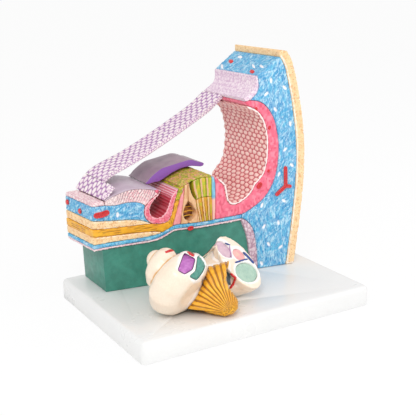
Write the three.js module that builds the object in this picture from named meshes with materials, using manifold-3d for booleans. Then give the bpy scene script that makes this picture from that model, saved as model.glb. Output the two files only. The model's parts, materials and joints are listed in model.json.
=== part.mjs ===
// Anatomical teaching model of the inner ear: a thick slice through the organ of Corti
// and a small opened cochlea, both standing on one flat base plate.
// Millimetres, +Z up. The origin is on the table under the middle of the base plate,
// +X runs along the plate's long side and -Y is the front.
import * as THREE from 'three';
import { mergeVertices } from 'three/addons/utils/BufferGeometryUtils.js';
import Module from 'manifold-3d';

const wasm = await Module();
wasm.setup();

// Clearance between neighbouring pieces
const SEAM = 0.3;
// Edges shorter than this are left out of cut pieces
const SLIVER = 0.05;

// Base plate, a tray that is open below
const PLATE = {
  length: 250, width: 185, height: 20, wall: 3, edgeRadius: 4.5, cornerRadius: 5,
};
const FOOT = { radius: 9, height: 3, inset: 20, recess: 2.5 };
const SCREW = { radius: 2, headRadius: 4, headHeight: 2.6, grip: 14, bossRadius: 7 };

// The slice stands at the back of the plate. Its cut face turns away from the plate's front edge
const SLICE = { left: -113, backFromPlateEdge: 7, depthAtLeft: 54.4, cutAngle: 8.37, leanAtBack: 5.5, leanReach: 60 };

// Layers at the slice's left end, from the plate up
const LAYER = {
  canalHeight: 45.5, lining: 2.4, basilar: 4, lowerBone: 8, nerve: 7.5, upperBone: 8.5,
  limbus: 14, skin: 5,
};
const BLOCK = { left: 9, setBack: 2 };
const WALL_LINING = { foot: 8 };
const COVER_SKIN = 1.5;
const TOP_PLATE = 2.5;
const LUMEN_LINING = 2.5;
const OUTER_BONE = 9.5;

// Cells of the sensory organ, counted from the middle outwards
const CELLS = { columns: 3, firstBase: 108.5, basePitch: 4.4, firstTop: 101.6, topPitch: 6.6, split: 84.5 };
const CAVE_DEPTH = 7;

// Membranes stand back from the cut face
const ROOF = { thickness: 5.5, frontDepth: 36, toe: 19.5 };
const TECTORIAL = { frontDepth: 39 };

// Vessels stand proud of the face that they lie on
const VESSEL = { proud: 1.6 };

// Small cochlea: its axis points to the back, up and a little to the left
const COCHLEA = { x: -68, y: -52.6, height: 31, tilt: 56.5, turn: 21.2, roll: 53.6 };
// Its coil, quarter turn by quarter turn from the base to the tip
const COIL = {
  start: 100,
  centreRadius: [17, 17, 17, 17, 13.5, 9.5, 8, 6.5, 3.5, 0.5],
  tubeRadius: [16, 15.8, 15.5, 15.2, 14, 12.4, 11.3, 10.3, 9.8, 9.3],
  rise: [-4, -3, -1, 2, 8.3, 15.6, 20.2, 24, 27, 29.5],
};
// The sawn-off first stretch of the coil: place, half width across the axis, half width along it
const STUMP = [
  { at: [51, 49, -13], across: 20, along: 31 },
  { at: [44, 54, -11.5], across: 19.5, along: 29.5 },
  { at: [33, 56, -9], across: 18, along: 26 },
  { at: [20, 48, -6.5], across: 16.5, along: 21 },
  { at: [6, 33, -5], across: 16, along: 18 },
];
const CORE = { base: 16, top: 5, from: -15, to: 28 };
const WINDOW = { back: 5, sunk: 3, slant: 0.364 };
const CHAMBER = { depth: 9 };

// Levels of the layers at the left end
const Z_BASILAR = LAYER.canalHeight;
const Z_LOWER_BONE = Z_BASILAR + LAYER.basilar;
const Z_NERVE = Z_LOWER_BONE + LAYER.lowerBone;
const Z_UPPER_BONE = Z_NERVE + LAYER.nerve;
const Z_LIMBUS = Z_UPPER_BONE + LAYER.upperBone;
const Z_SKIN = Z_LIMBUS + LAYER.limbus;
const Z_LIMBUS_TOP = Z_SKIN + LAYER.skin;

// Colours and surfaces
function finish(color, roughness = 0.55, metalness = 0) {
  return new THREE.MeshStandardMaterial({ color, roughness, metalness });
}
const LOOK = {
  plate: finish(0xdededc, 0.35),
  rubber: finish(0x3a3a3a, 0.85),
  steel: finish(0xb8babd, 0.3, 1),
  green: finish(0x3f8a78, 0.5),
  skin: finish(0xe9d6de),
  blue: finish(0x6ebee1),
  bone: finish(0xfad296),
  nerve: finish(0xebaa1e),
  pink: finish(0xf57891),
  cells: finish(0xf5c8be),
  lilac: finish(0xc8b4c3),
  violet: finish(0x8c55af),
  membrane: finish(0xf0e6eb),
  hair: finish(0xa0be28),
  deiters: finish(0xe6a532),
  pillar: finish(0xe6b98c),
  cave: finish(0x784628),
  darkGreen: finish(0x285a32),
  red: finish(0xd72328, 0.35),
  shell: finish(0xf5e6d2, 0.4),
  windowGreen: finish(0x4f9486),
  windowRed: finish(0xd8464e),
};

// Geometry helpers

/** Smooth line through a few points given as [x, z]. */
function curve(points, steps = 2) {
  const spline = new THREE.SplineCurve(points.map(([x, z]) => new THREE.Vector2(x, z)));
  return spline.getPoints(steps * (points.length - 1));
}

/** Straight line through points given as [x, z]. */
function line(...points) {
  return points.map(([x, z]) => new THREE.Vector2(x, z));
}

/** The same line moved straight up. */
function raised(points, height) {
  return points.map((point) => new THREE.Vector2(point.x, point.y + height));
}

/** Height of a line that runs from left to right, at x. */
function heightAt(points, x) {
  const right = Math.max(1, points.findIndex((point) => point.x >= x));
  const [a, b] = [points[right - 1], points[right]];
  return a.y + (b.y - a.y) * (x - a.x) / (b.x - a.x);
}

/** The stretch of a left-to-right line between two x values. */
function between(points, from, to) {
  const inner = points.filter((point) => point.x > from + SEAM && point.x < to - SEAM);
  const start = new THREE.Vector2(from, heightAt(points, from));
  const end = new THREE.Vector2(to, heightAt(points, to));
  return [start, ...inner, end];
}

/** A line beside another one: positive distances lie to its right. */
function beside(points, distance) {
  return points.map((point, i) => {
    const before = points[Math.max(0, i - 1)];
    const after = points[Math.min(points.length - 1, i + 1)];
    const along = after.clone().sub(before).normalize();
    return new THREE.Vector2(point.x + along.y * distance, point.y - along.x * distance);
  });
}

function backwards(points) {
  return [...points].reverse();
}

/** Drops points that nearly repeat the one before or lie on a straight edge. */
function cleaned(outline, nearest = 0.25) {
  const spaced = outline.filter((point, i) => point.distanceTo(outline.at(i - 1)) > nearest);
  return spaced.filter((point, i) => {
    const before = point.clone().sub(spaced.at(i - 1));
    const after = spaced[(i + 1) % spaced.length].clone().sub(point);
    return Math.abs(before.cross(after)) > 1e-6;
  });
}

/** Draws an outline in by the given margin, so that neighbours keep a seam. */
function drawnIn(outline, margin = SEAM / 2) {
  const longest = 6 * margin;
  return outline.map((corner, i) => {
    const incoming = corner.clone().sub(outline.at(i - 1)).normalize();
    const outgoing = outline[(i + 1) % outline.length].clone().sub(corner).normalize();
    const inward = new THREE.Vector2(-incoming.y - outgoing.y, incoming.x + outgoing.x);
    const reach = Math.min(2 * margin / Math.max(inward.lengthSq(), 1e-6), longest);
    return corner.clone().addScaledVector(inward, reach);
  });
}

function anticlockwise(outline) {
  return THREE.ShapeUtils.isClockWise(outline) ? backwards(outline) : outline;
}

/** Triangles of an end cap that is round enough to be filled from one corner. */
function fan(ring) {
  return ring.slice(2).map((_, i) => [0, i + 1, i + 2]);
}

/** Triangles of an end cap of any outline; `flat` turns a corner into the plane of the cap. */
function filled(flat) {
  return (ring) => THREE.ShapeUtils.triangulateShape(ring.map(flat), []);
}

/** Closed solid through rings of equal counts. */
function loft(rings, cap = fan) {
  const count = rings[0].length;
  const faces = [];
  cap(rings[0]).forEach(([a, b, c]) => faces.push(a, c, b));
  const last = (rings.length - 1) * count;
  cap(rings.at(-1)).forEach(([a, b, c]) => faces.push(last + a, last + b, last + c));
  for (let low = 0; low < last; low += count) {
    for (let i = 0; i < count; i++) {
      const j = (i + 1) % count;
      faces.push(low + i, low + j, low + count + j, low + i, low + count + j, low + count + i);
    }
  }
  const geometry = new THREE.BufferGeometry();
  const corners = rings.flat().flatMap((corner) => [corner.x, corner.y, corner.z]);
  geometry.setAttribute('position', new THREE.Float32BufferAttribute(corners, 3));
  geometry.setIndex(faces);
  return geometry;
}

const inSection = filled((corner) => new THREE.Vector2(corner.x, corner.z));

/** Turns a geometry into a solid that can be cut and joined. */
function solid(geometry) {
  const bare = geometry.clone();
  bare.deleteAttribute('normal');
  bare.deleteAttribute('uv');
  const merged = mergeVertices(bare, 1e-4);
  return new wasm.Manifold(new wasm.Mesh({
    numProp: 3,
    vertProperties: new Float32Array(merged.attributes.position.array),
    triVerts: new Uint32Array(merged.index.array),
  }));
}

/** Turns a cut or joined solid back into a geometry, without the slivers that cutting leaves. */
function shapeOf(manifold) {
  const mesh = manifold.simplify(SLIVER).getMesh();
  const geometry = new THREE.BufferGeometry();
  geometry.setAttribute('position', new THREE.BufferAttribute(mesh.vertProperties, 3));
  geometry.setIndex(new THREE.BufferAttribute(mesh.triVerts, 1));
  return geometry;
}

/** The largest of the closed skins that a solid is made of. */
function largest(manifold) {
  return manifold.decompose().reduce((one, other) => (other.volume() > one.volume() ? other : one));
}

const model = new THREE.Group();

/** Adds one named piece to a group. */
function piece(group, name, geometry, look) {
  const mesh = new THREE.Mesh(geometry, look);
  mesh.name = name;
  group.add(mesh);
  return mesh;
}

// Base plate with its feet and screws

/** Rounded rectangle seen from above, drawn in from the plate's outer edge. */
function plateOutline(inset, steps = 4) {
  const radius = Math.max(PLATE.cornerRadius - inset, 0.5);
  const halfLength = PLATE.length / 2 - inset - radius;
  const halfWidth = PLATE.width / 2 - inset - radius;
  const corners = [[1, 1], [-1, 1], [-1, -1], [1, -1]];
  return corners.flatMap(([sx, sy], quarter) => Array.from({ length: steps + 1 }, (_, i) => {
    const angle = (quarter + i / steps) * Math.PI / 2;
    return new THREE.Vector2(sx * halfLength + radius * Math.cos(angle), sy * halfWidth + radius * Math.sin(angle));
  }));
}

function plateRing(inset, height) {
  return plateOutline(inset).map(({ x, y }) => new THREE.Vector3(x, y, height));
}

const plateBottom = FOOT.height - FOOT.recess;
const plateTop = plateBottom + PLATE.height;

function footPlaces() {
  const x = PLATE.length / 2 - FOOT.inset;
  const y = PLATE.width / 2 - FOOT.inset;
  return [[-x, -y], [x, -y], [-x, y], [x, y]];
}

/** Upright round bar. */
function barShape(radius, from, to, [x, y], sides = 24) {
  const geometry = new THREE.CylinderGeometry(radius, radius, to - from, sides);
  return geometry.rotateX(Math.PI / 2).translate(x, y, (from + to) / 2);
}

function bar(...sizes) {
  return solid(barShape(...sizes));
}

const sliceBack = PLATE.width / 2 - SLICE.backFromPlateEdge;
const screwPlaces = [[-80, 55], [-20, 45], [30, 38], [-56, -42]];

function basePlate() {
  const rounds = 4;
  const rings = [plateRing(0, plateBottom)];
  for (let i = 0; i <= rounds; i++) {
    const angle = i / rounds * Math.PI / 2;
    const inset = PLATE.edgeRadius * (1 - Math.cos(angle));
    rings.push(plateRing(inset, plateTop - PLATE.edgeRadius * (1 - Math.sin(angle))));
  }
  let plate = solid(loft(rings));
  const hollowTop = plateTop - PLATE.wall;
  const hollow = solid(loft([plateRing(PLATE.wall, plateBottom - 1), plateRing(PLATE.wall, hollowTop)]));
  let cavity = hollow;
  screwPlaces.forEach((place) => {
    cavity = cavity.subtract(bar(SCREW.bossRadius, plateBottom + SCREW.headHeight, hollowTop + 1, place));
  });
  footPlaces().forEach((place) => {
    cavity = cavity.subtract(bar(FOOT.radius + PLATE.wall, plateBottom - 2, hollowTop + 1, place));
  });
  plate = plate.subtract(cavity);
  footPlaces().forEach((place) => {
    plate = plate.subtract(bar(FOOT.radius + SEAM, plateBottom - 1, plateBottom + FOOT.recess + SEAM, place));
  });
  screwPlaces.forEach((place) => {
    plate = plate.subtract(bar(SCREW.radius + SEAM, plateBottom, plateTop + 1, place));
  });
  return shapeOf(plate);
}

function foot() {
  const bevel = 0.8;
  const profile = line([0, 0], [FOOT.radius - bevel, 0], [FOOT.radius, bevel], [FOOT.radius, FOOT.height], [0, FOOT.height]);
  const geometry = new THREE.LatheGeometry(profile, 24);
  return geometry.rotateX(Math.PI / 2);
}

function screw() {
  const seat = plateBottom + SCREW.headHeight - SEAM;
  const tip = plateTop + SCREW.grip;
  const profile = line(
    [0, seat - SCREW.headHeight + 1], [SCREW.headRadius - 1, seat - SCREW.headHeight + 1], [SCREW.headRadius, seat - 1],
    [SCREW.headRadius, seat], [SCREW.radius, seat], [SCREW.radius, tip - SCREW.radius], [0, tip],
  );
  return new THREE.LatheGeometry(profile, 16).rotateX(Math.PI / 2);
}

piece(model, 'base_plate', basePlate(), LOOK.plate);
footPlaces().forEach(([x, y], i) => {
  piece(model, `foot_${i + 1}`, foot(), LOOK.rubber).position.set(x, y, 0);
});
screwPlaces.forEach(([x, y], i) => {
  piece(model, `screw_${i + 1}`, screw(), LOOK.steel).position.set(x, y, 0);
});

// Slice: x runs right from its left end and z up from the plate; its back lies at y = 0 and its front at negative y

const slice = new THREE.Group();
slice.position.set(SLICE.left, sliceBack, plateTop + SEAM / 2);
model.add(slice);

const cutSlope = Math.tan(THREE.MathUtils.degToRad(SLICE.cutAngle));
const cutFace = (x) => -(SLICE.depthAtLeft + x * cutSlope);

/** Place in x of a corner of the section at a depth: the left end leans outwards towards the back. */
function leaning(x, depth, lean = SLICE.leanAtBack) {
  return x - lean * Math.max(0, 1 - x / SLICE.leanReach) * (1 - depth / cutFace(x));
}

/** Piece of the slice: its outline in the section, carried from the back to the cut face. */
function block(outline, { front = cutFace, back = () => 0, lean } = {}) {
  const section = drawnIn(cleaned(anticlockwise(outline)));
  const ring = (depth) => section.map(({ x, y }) => new THREE.Vector3(leaning(x, depth(x), lean), depth(x), y));
  return loft([ring(back), ring(front)], inSection);
}

function slicePiece(name, outline, look, extent) {
  return piece(slice, name, block(outline, extent), look);
}

/** Cuts the screw holes into a solid that stands in the given group. */
function drilled(body, group) {
  group.updateMatrixWorld(true);
  const toGroup = group.matrixWorld.clone().invert();
  return screwPlaces.reduce((rest, place) => {
    const hole = barShape(SCREW.radius + SEAM, plateTop - 1, plateTop + SCREW.grip + SEAM, place, 16);
    return rest.subtract(solid(hole.applyMatrix4(toGroup)));
  }, body);
}

// Lines that the section's pieces share

const basilarUnder = curve([
  [0, Z_BASILAR], [18, Z_BASILAR + 1], [48, Z_BASILAR + 1.5], [63, Z_BASILAR + 2.5], [73, Z_BASILAR + 6],
  [80, Z_BASILAR + 9.3], [86, Z_BASILAR + 10], [108, Z_BASILAR + 9.5], [138, Z_BASILAR + 11], [154, Z_BASILAR + 12],
], 3);
const liningUnder = raised(basilarUnder, -LAYER.lining);
const basilarTop = raised(basilarUnder, LAYER.basilar);

const lowerTip = 69;
const nerveUnder = curve([
  [0, Z_NERVE], [18, Z_NERVE - 0.5], [48, Z_NERVE - 1], [62, Z_NERVE - 2], [lowerTip, heightAt(basilarTop, lowerTip)],
]);
const upperTip = [58.5, Z_UPPER_BONE - 1.2];
const nerveTop = curve([[0, Z_UPPER_BONE], [18, Z_UPPER_BONE - 0.5], [40, Z_UPPER_BONE - 1], upperTip]);
const upperBoneTop = curve([
  [0, Z_LIMBUS], [18, Z_LIMBUS - 1.5], [38, Z_LIMBUS - 3], [48, Z_LIMBUS - 5], [54, Z_LIMBUS - 7.3], upperTip,
]);
const limbusCorner = [52.5, Z_SKIN - 5];
const limbusTop = curve([
  [0, Z_SKIN], [13, Z_SKIN], [23, Z_SKIN - 1], [33, Z_SKIN + 0.5], [43, Z_SKIN], [49, Z_SKIN - 2], limbusCorner,
]);

// Cover of the limbus, whose right end is the upper lip of the sulcus
const coverTop = curve([
  [12, Z_LIMBUS_TOP], [16, Z_LIMBUS_TOP + 2.5], [23, Z_LIMBUS_TOP + 5.3], [33, Z_LIMBUS_TOP + 8.3],
  [43, Z_LIMBUS_TOP + 9.3], [53, Z_LIMBUS_TOP + 8.3], [60, Z_LIMBUS_TOP + 6.7], [68.4, Z_LIMBUS_TOP + 4.2],
]);
const coverUnder = between(raised(coverTop, -COVER_SKIN), 13.5, 67.5);
const lip = [67.5, heightAt(coverUnder, 67.5)];

const sulcusUpper = curve([lip, [63.5, 92], [60, 89.5], [56, 86.5], limbusCorner]);
const sulcusLower = curve([limbusCorner, [51, 77.5], [51.5, 72.5], [54, 68], upperTip]);
const rightLip = [87, 96.8];
const sulcusRight = curve([upperTip, [63, 62.9], [68, 62.5], [74, 63.5], [77.5, 67], [79.5, 72], [81.5, 79.5], [83, 84.5]]);
const sulcusRim = curve([[83, 84.5], [85, 91], rightLip]);
const sulcusInner = curve([
  [68.6, lip[1] - 1.2], [63, 88.5], [59, 83.5], [57, 78.5], [58, 73.5], [61, 70.5], [65, 69.5], [70, 71.5],
  [74, 76.5], [76, 82.5], [78, 87.5], [81, 92], [84.6, 96],
], 3);

// Top plate of the sensory organ
const topPlate = curve([[87.6, 99.4], [95, 102], [101, 104.5], [108, 106.6], [115, 107.2], [121.6, 106.4]]);
const topPlateUnder = raised(topPlate, -TOP_PLATE);

const nerveRight = curve([[79.5, heightAt(basilarTop, 79.5)], [81.5, 64.5], [83, 69.5], [86, 79.5], [87.5, 84.5]]);
const pillarHead = [92.6, heightAt(topPlateUnder, 92.6)];
const hairRight = curve([[87.5, 84.5], [88.5, 88], [91, 92.5], pillarHead]);
const pillarLeft = curve([[88, heightAt(basilarTop, 88)], [89.3, 70], [91, 80], [92.3, 90], pillarHead]);

// Cave between the pillars, and the slot beside the outer one
const archMiddle = 96.8;
const caveFoot = [archMiddle, 61.8];
const caveRoof = [archMiddle, 82];
const caveLeft = curve([caveRoof, [93.6, 78.5], [91.8, 73.5], [91.2, 69], [92.6, 64.5], caveFoot]);
const caveRight = curve([caveFoot, [100.8, 63.3], [103.8, 67.5], [103.8, 71.5], [102, 75.5], [99.4, 79.5], caveRoof]);
const slotFoot = [104.3, 82.6];
const slotLeft = curve([slotFoot, [101.5, 86.5], [99.5, 91.5], [98.4, 96.5], [98.3, heightAt(topPlateUnder, 98.3)]]);
const slotRight = curve([
  slotFoot, [104.6, 85.5], [103.3, 90], [102, 96], [CELLS.firstTop, heightAt(topPlateUnder, CELLS.firstTop)],
]);
const pillarRight = curve([[CELLS.firstBase, heightAt(basilarTop, CELLS.firstBase)], [107, 68], [105.4, 76], slotFoot]);

// Outer border of the organ, and the lumen of the duct
const lastBase = CELLS.firstBase + CELLS.columns * CELLS.basePitch;
const lastTop = CELLS.firstTop + CELLS.columns * CELLS.topPitch;
const ductFoot = [lastBase + 3.2, heightAt(basilarTop, lastBase + 3.2)];
const ductLip = [lastTop + 2.2, 104.4];
const ductLeft = curve([ductFoot, [125.3, 80], [125.2, 98], ductLip]);
const ligamentStart = 154;
const ductOuter = curve([
  [ligamentStart, heightAt(basilarTop, ligamentStart)], [163, 65.5], [173, 71.5], [180, 77.5], [186, 85.5],
  [190, 94.5], [193, 104.5], [194.5, 119.5], [194.5, 129.5], [193, 142.5], [190, 154.5], [185, 164.5],
  [178, 172.5], [171, 176], [163, 177.2],
]);
const ductTail = line([163, 177.2], [157, 176]);
const ductInner = curve([
  ductLip, [131, 100.5], [136, 95.5], [138, 88.5], [139.3, 80.5], [142, 76], [147, 75], [153, 77.5], [158, 80.5],
  [163, 85.5], [166, 91.5], [171, 96.5], [176, 102.5], [178.5, 109.5], [180, 119.5], [180.5, 129.5],
  [180, 139.5], [177.5, 151.5], [173, 160.5], [167, 166], [158.5, 169.8],
]);
const ductLined = beside(ductInner, LUMEN_LINING);

// Right side of the slice
const wallFoot = [172, 0];
const wallRight = curve([
  [ligamentStart, heightAt(basilarUnder, ligamentStart)], [160, 53.5], [166, 45.5], [169, 34.5], [171, 19.5], wallFoot,
]);
const blockRight = curve([
  [ligamentStart - 1, heightAt(liningUnder, ligamentStart - 1)], [155.5, 48.5], [158.5, 40.5], [160.7, 29.5],
  [162.5, 15], [wallFoot[0] - WALL_LINING.foot, 0],
]);
const ligamentPeak = [194.5, 218.5];
const ligamentShoulder = [170.5, 201.5];
const ligamentRight = curve([
  ligamentPeak, [200, 209.5], [202.8, 199.5], [207.5, 179.5], [211, 159.5], [213.7, 139.5], [215, 119.5],
  [214.6, 89.5], [211.8, 59.5], [208.5, 29.5], [204.5, 0],
]);
const outerEdge = beside(ligamentRight, -OUTER_BONE).map(({ x, y }) => new THREE.Vector2(x, Math.max(y, 0)));
const rootInner = curve([ligamentShoulder, [172, 196], [172.3, 189], [170, 183.8], [167, 180.6], [163, 177.2]]);
const rootOuter = curve([[168, 200.2], [168.8, 195], [168, 190], [165.5, 186.4], [161, 183.3], [155, 179.6]]);

// Membrane over the duct
const roofTop = curve([
  [10, Z_LIMBUS_TOP + 1.2], [14, 100], [20.5, 107.5], [29, 113.8], [45, 120.6], [58, 125.8], [88, 140],
  [118, 155.5], [138, 166.5], [154.6, 179.2],
], 3);
const roofUnder = beside(roofTop, ROOF.thickness);

const tectorialFrom = 64.5;
const tectorialTop = curve([
  [tectorialFrom, heightAt(coverTop, tectorialFrom) + 1.2], [67, 100.6], [69.5, 103.2], [73, 105.8], [78, 109], [83, 111.5], [88, 112.5],
  [98, 114], [108, 115.5], [114, 116.3], [120, 115.3], [126, 112.8], [130, 111.8], [132.2, 110], [130.8, 107.9],
]);
const tectorialUnder = [
  ...raised(between(coverTop, tectorialFrom, 67.5), SEAM),
  ...curve([[69.5, 97.6], [74, 98.4], [80, 98.6], [87, 101.6], [92, 104.2], [98, 106.6], [105, 108.6],
    [112, 109.3], [118, 109.2], [123, 108.4], [128, 107.4]]),
];

// Lower layers, from the canal up

const canalBlock = [
  ...line([BLOCK.left + 1.5, 0]), ...backwards(blockRight), ...backwards(between(liningUnder, BLOCK.left, ligamentStart - 1)),
];
const blockDepth = { front: (x) => cutFace(x) + BLOCK.setBack, back: () => -BLOCK.setBack, lean: 0 };
piece(slice, 'canal_block', shapeOf(drilled(solid(block(canalBlock, blockDepth)), slice)), LOOK.green);

slicePiece('canal_roof_lining', [
  ...between(liningUnder, 0, ligamentStart - 1), ...backwards(between(basilarUnder, 0, ligamentStart)),
], LOOK.skin);
slicePiece('canal_wall_lining', [...backwards(blockRight), ...wallRight], LOOK.skin);
slicePiece('basilar_membrane', [
  ...between(basilarUnder, 0, ligamentStart), ...backwards(between(basilarTop, 0, ligamentStart)),
], LOOK.blue);
slicePiece('lower_bone_shelf', [
  ...between(basilarTop, 0, lowerTip), ...backwards(nerveUnder),
], LOOK.bone);
slicePiece('nerve_fibre_sheet', [
  ...nerveUnder, ...between(basilarTop, lowerTip, 79.5), ...nerveRight,
  ...backwards(sulcusRight), ...backwards(nerveTop),
], LOOK.nerve);
slicePiece('upper_bone_shelf', [...nerveTop, ...backwards(upperBoneTop)], LOOK.bone);

// Limbus

slicePiece('limbus_tissue', [...upperBoneTop, ...backwards(sulcusLower), ...backwards(limbusTop)], LOOK.blue);
slicePiece('limbus_skin', [
  ...between(limbusTop, 0, 13), ...line([12, Z_LIMBUS_TOP], [0, Z_LIMBUS_TOP]),
], LOOK.skin);
slicePiece('limbus_teeth', [
  ...between(limbusTop, 13, limbusCorner[0]), ...backwards(sulcusUpper), ...backwards(coverUnder),
], LOOK.cells);
slicePiece('limbus_cover', [
  ...line([12, Z_LIMBUS_TOP]), ...coverUnder, ...line([69, lip[1] - 0.4]), ...backwards(coverTop.slice(1)),
], LOOK.lilac);
slicePiece('inner_sulcus', [
  ...sulcusUpper, ...sulcusLower, ...sulcusRight, ...sulcusRim, ...backwards(sulcusInner),
], LOOK.pink);

// Sensory organ

slicePiece('inner_hair_cells', [
  ...backwards(sulcusRim), ...hairRight, ...backwards(between(topPlateUnder, 87.9, pillarHead[0])),
], LOOK.hair);
slicePiece('inner_support_cells', [
  ...between(basilarTop, 79.5, 88), ...pillarLeft, ...backwards(hairRight), ...backwards(nerveRight),
], LOOK.pink);
slicePiece('inner_pillar', [
  ...between(basilarTop, 88, archMiddle), ...backwards(caveLeft),
  ...line([archMiddle, heightAt(topPlateUnder, archMiddle)]),
  ...backwards(between(topPlateUnder, pillarHead[0], archMiddle)), ...backwards(pillarLeft),
], LOOK.pillar);
slicePiece('outer_pillar', [
  ...between(basilarTop, archMiddle, CELLS.firstBase), ...pillarRight, ...slotLeft,
  ...line([archMiddle, heightAt(topPlateUnder, archMiddle)]), ...backwards(caveRight),
], LOOK.pillar);
slicePiece('tunnel_core', [...backwards(caveLeft), ...backwards(caveRight)], LOOK.cave, {
  front: (x) => cutFace(x) + CAVE_DEPTH,
});
slicePiece('slot_core', [
  ...slotRight, ...backwards(between(topPlateUnder, slotLeft.at(-1).x, CELLS.firstTop)), ...backwards(slotLeft),
], LOOK.darkGreen, { front: (x) => cutFace(x) + CAVE_DEPTH });

/** Boundary to the right of a column of outer cells. */
function columnLine(index) {
  const base = CELLS.firstBase + index * CELLS.basePitch;
  const top = CELLS.firstTop + index * CELLS.topPitch;
  const foot = new THREE.Vector2(base, heightAt(basilarTop, base));
  const head = new THREE.Vector2(top, heightAt(topPlateUnder, top));
  const share = (CELLS.split - foot.y) / (head.y - foot.y);
  return { foot, waist: foot.clone().lerp(head, share), head };
}

for (let column = 1; column <= CELLS.columns; column++) {
  const right = columnLine(column);
  const left = columnLine(column - 1);
  const lowerLeft = column === 1 ? pillarRight : [left.foot, left.waist];
  const upperLeft = column === 1 ? slotRight.slice(1) : [left.waist, left.head];
  slicePiece(`support_cells_${column}`, [
    ...between(basilarTop, left.foot.x, right.foot.x), right.waist, ...backwards(lowerLeft),
  ], LOOK.deiters);
  slicePiece(`outer_hair_cells_${column}`, [
    lowerLeft.at(-1), right.waist, right.head,
    ...backwards(between(topPlateUnder, upperLeft.at(-1).x, right.head.x)).slice(1), ...backwards(upperLeft.slice(0, -1)),
  ], LOOK.hair);
}
const lastColumn = columnLine(CELLS.columns);
slicePiece('border_cells', [
  ...between(basilarTop, lastColumn.foot.x, ductFoot[0]), ...ductLeft, lastColumn.head,
], LOOK.blue);
slicePiece('top_plate', [
  ...between(topPlateUnder, 87.9, lastColumn.head.x), ...backwards(topPlate),
], LOOK.hair);

// Duct wall

const liningFrom = 2;
slicePiece('duct_wall', [
  ...between(basilarTop, ductFoot[0], ligamentStart), ...ductOuter, ...ductTail,
  ...backwards(ductLined.slice(liningFrom)), ...backwards(ductInner.slice(0, liningFrom)), ...backwards(ductLeft),
], LOOK.pink);
slicePiece('duct_lining', [...ductLined.slice(liningFrom), ...backwards(ductInner.slice(liningFrom - 1))], LOOK.cells);

// Outer wall

slicePiece('spiral_ligament', [
  ...wallRight, ...backwards(ligamentRight), ...rootInner, ...backwards(ductOuter),
], LOOK.blue);
slicePiece('outer_bone', [...outerEdge, ...backwards(ligamentRight), ...line([194, ligamentPeak[1] + 6.5])], LOOK.bone);
slicePiece('membrane_root', [...rootOuter, ...backwards(ductTail), ...backwards(rootInner)], LOOK.skin);

// Membranes

const toe = roofTop.findIndex((point) => point.x > ROOF.toe);
const landing = raised(coverTop, SEAM);
const toeUnder = roofUnder.slice(0, toe + 1).filter((point) => point.x > 12 && point.y > heightAt(landing, point.x));
slicePiece('roof_membrane_foot', [
  ...roofTop.slice(0, toe + 1), ...backwards(toeUnder), ...backwards(between(landing, 12, toeUnder[0].x)),
], LOOK.membrane);
slicePiece('roof_membrane', [...roofTop.slice(toe), ...backwards(roofUnder.slice(toe))], LOOK.membrane, {
  front: () => -ROOF.frontDepth,
});
slicePiece('tectorial_membrane', [...tectorialUnder, ...backwards(tectorialTop)], LOOK.violet, {
  front: () => -TECTORIAL.frontDepth,
});

// Blood vessels, opened by the cut

/** Round-ended rod drawn as an outline between points of the section. */
function vesselOutline(points, width, steps = 4) {
  const radius = width / 2;
  const end = (centre, toward) => {
    const start = Math.atan2(toward.y, toward.x) - Math.PI / 2;
    return Array.from({ length: steps + 1 }, (_, i) => {
      const angle = start + i / steps * Math.PI;
      return new THREE.Vector2(centre.x + radius * Math.cos(angle), centre.y + radius * Math.sin(angle));
    });
  };
  const direction = (from, to) => to.clone().sub(from).normalize();
  const sides = [beside(points, radius).slice(1, -1), backwards(beside(points, -radius).slice(1, -1))];
  return [
    ...end(points[0], direction(points[1], points[0])), ...sides[0],
    ...end(points.at(-1), direction(points.at(-2), points.at(-1))), ...sides[1],
  ];
}

// Vessels stand proud of the cut face
const onFace = { front: (x) => cutFace(x) - SEAM - VESSEL.proud, back: (x) => cutFace(x) - SEAM };

function vessel(name, outline) {
  slicePiece(name, outline, LOOK.red, onFace);
}

const forkCentre = [202, 86.5];
const forkArms = [line([201.5, 105.5], forkCentre), line([207, 85.5], forkCentre), line([192, 78.5], forkCentre)];
const forkWidths = [4.2, 4, 4.2];
const fork = forkArms
  .map((arm, i) => solid(block(vesselOutline(arm, forkWidths[i]), onFace)))
  .reduce((joined, arm) => joined.add(arm));
piece(slice, 'ligament_vessel', shapeOf(fork), LOOK.red);
vessel('limbus_vessel', vesselOutline(line([3.5, 79.4], [8.5, 79.6], [13.5, 81]), 6));
vessel('spiral_vessel', vesselOutline(line([96.4, 54.3], [98.6, 54.9]), 4.6));
vessel('duct_vessel_1', vesselOutline(line([171.6, 88.7], [173.4, 91.3]), 4.6));
vessel('duct_vessel_2', vesselOutline(line([182.4, 103.4], [182.6, 104.8]), 2.4));
vessel('duct_vessel_3', vesselOutline(line([182.8, 147.6], [183.4, 149.6]), 2.6));

const sideVessels = [{ depth: 6, height: 82.5 }, { depth: 31.5, height: 79 }];
const SIDE_VESSEL = { radius: 3, tipRadius: 2.4 };

/** Vessel end on the slice's left side face. */
function sideVessel(depth, height) {
  const geometry = new THREE.CylinderGeometry(SIDE_VESSEL.tipRadius, SIDE_VESSEL.radius, VESSEL.proud, 12);
  const lean = Math.atan(SLICE.leanAtBack / SLICE.depthAtLeft);
  const face = leaning(0, -depth) - SEAM / 2;
  return geometry.rotateZ(Math.PI / 2 + lean).translate(face - VESSEL.proud / 2, -depth, height);
}
sideVessels.forEach(({ depth, height }, i) => {
  piece(slice, `side_vessel_${i + 1}`, sideVessel(depth, height), LOOK.red);
});

// Small cochlea: in its own frame z is the axis of the coil, towards the tip

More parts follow.
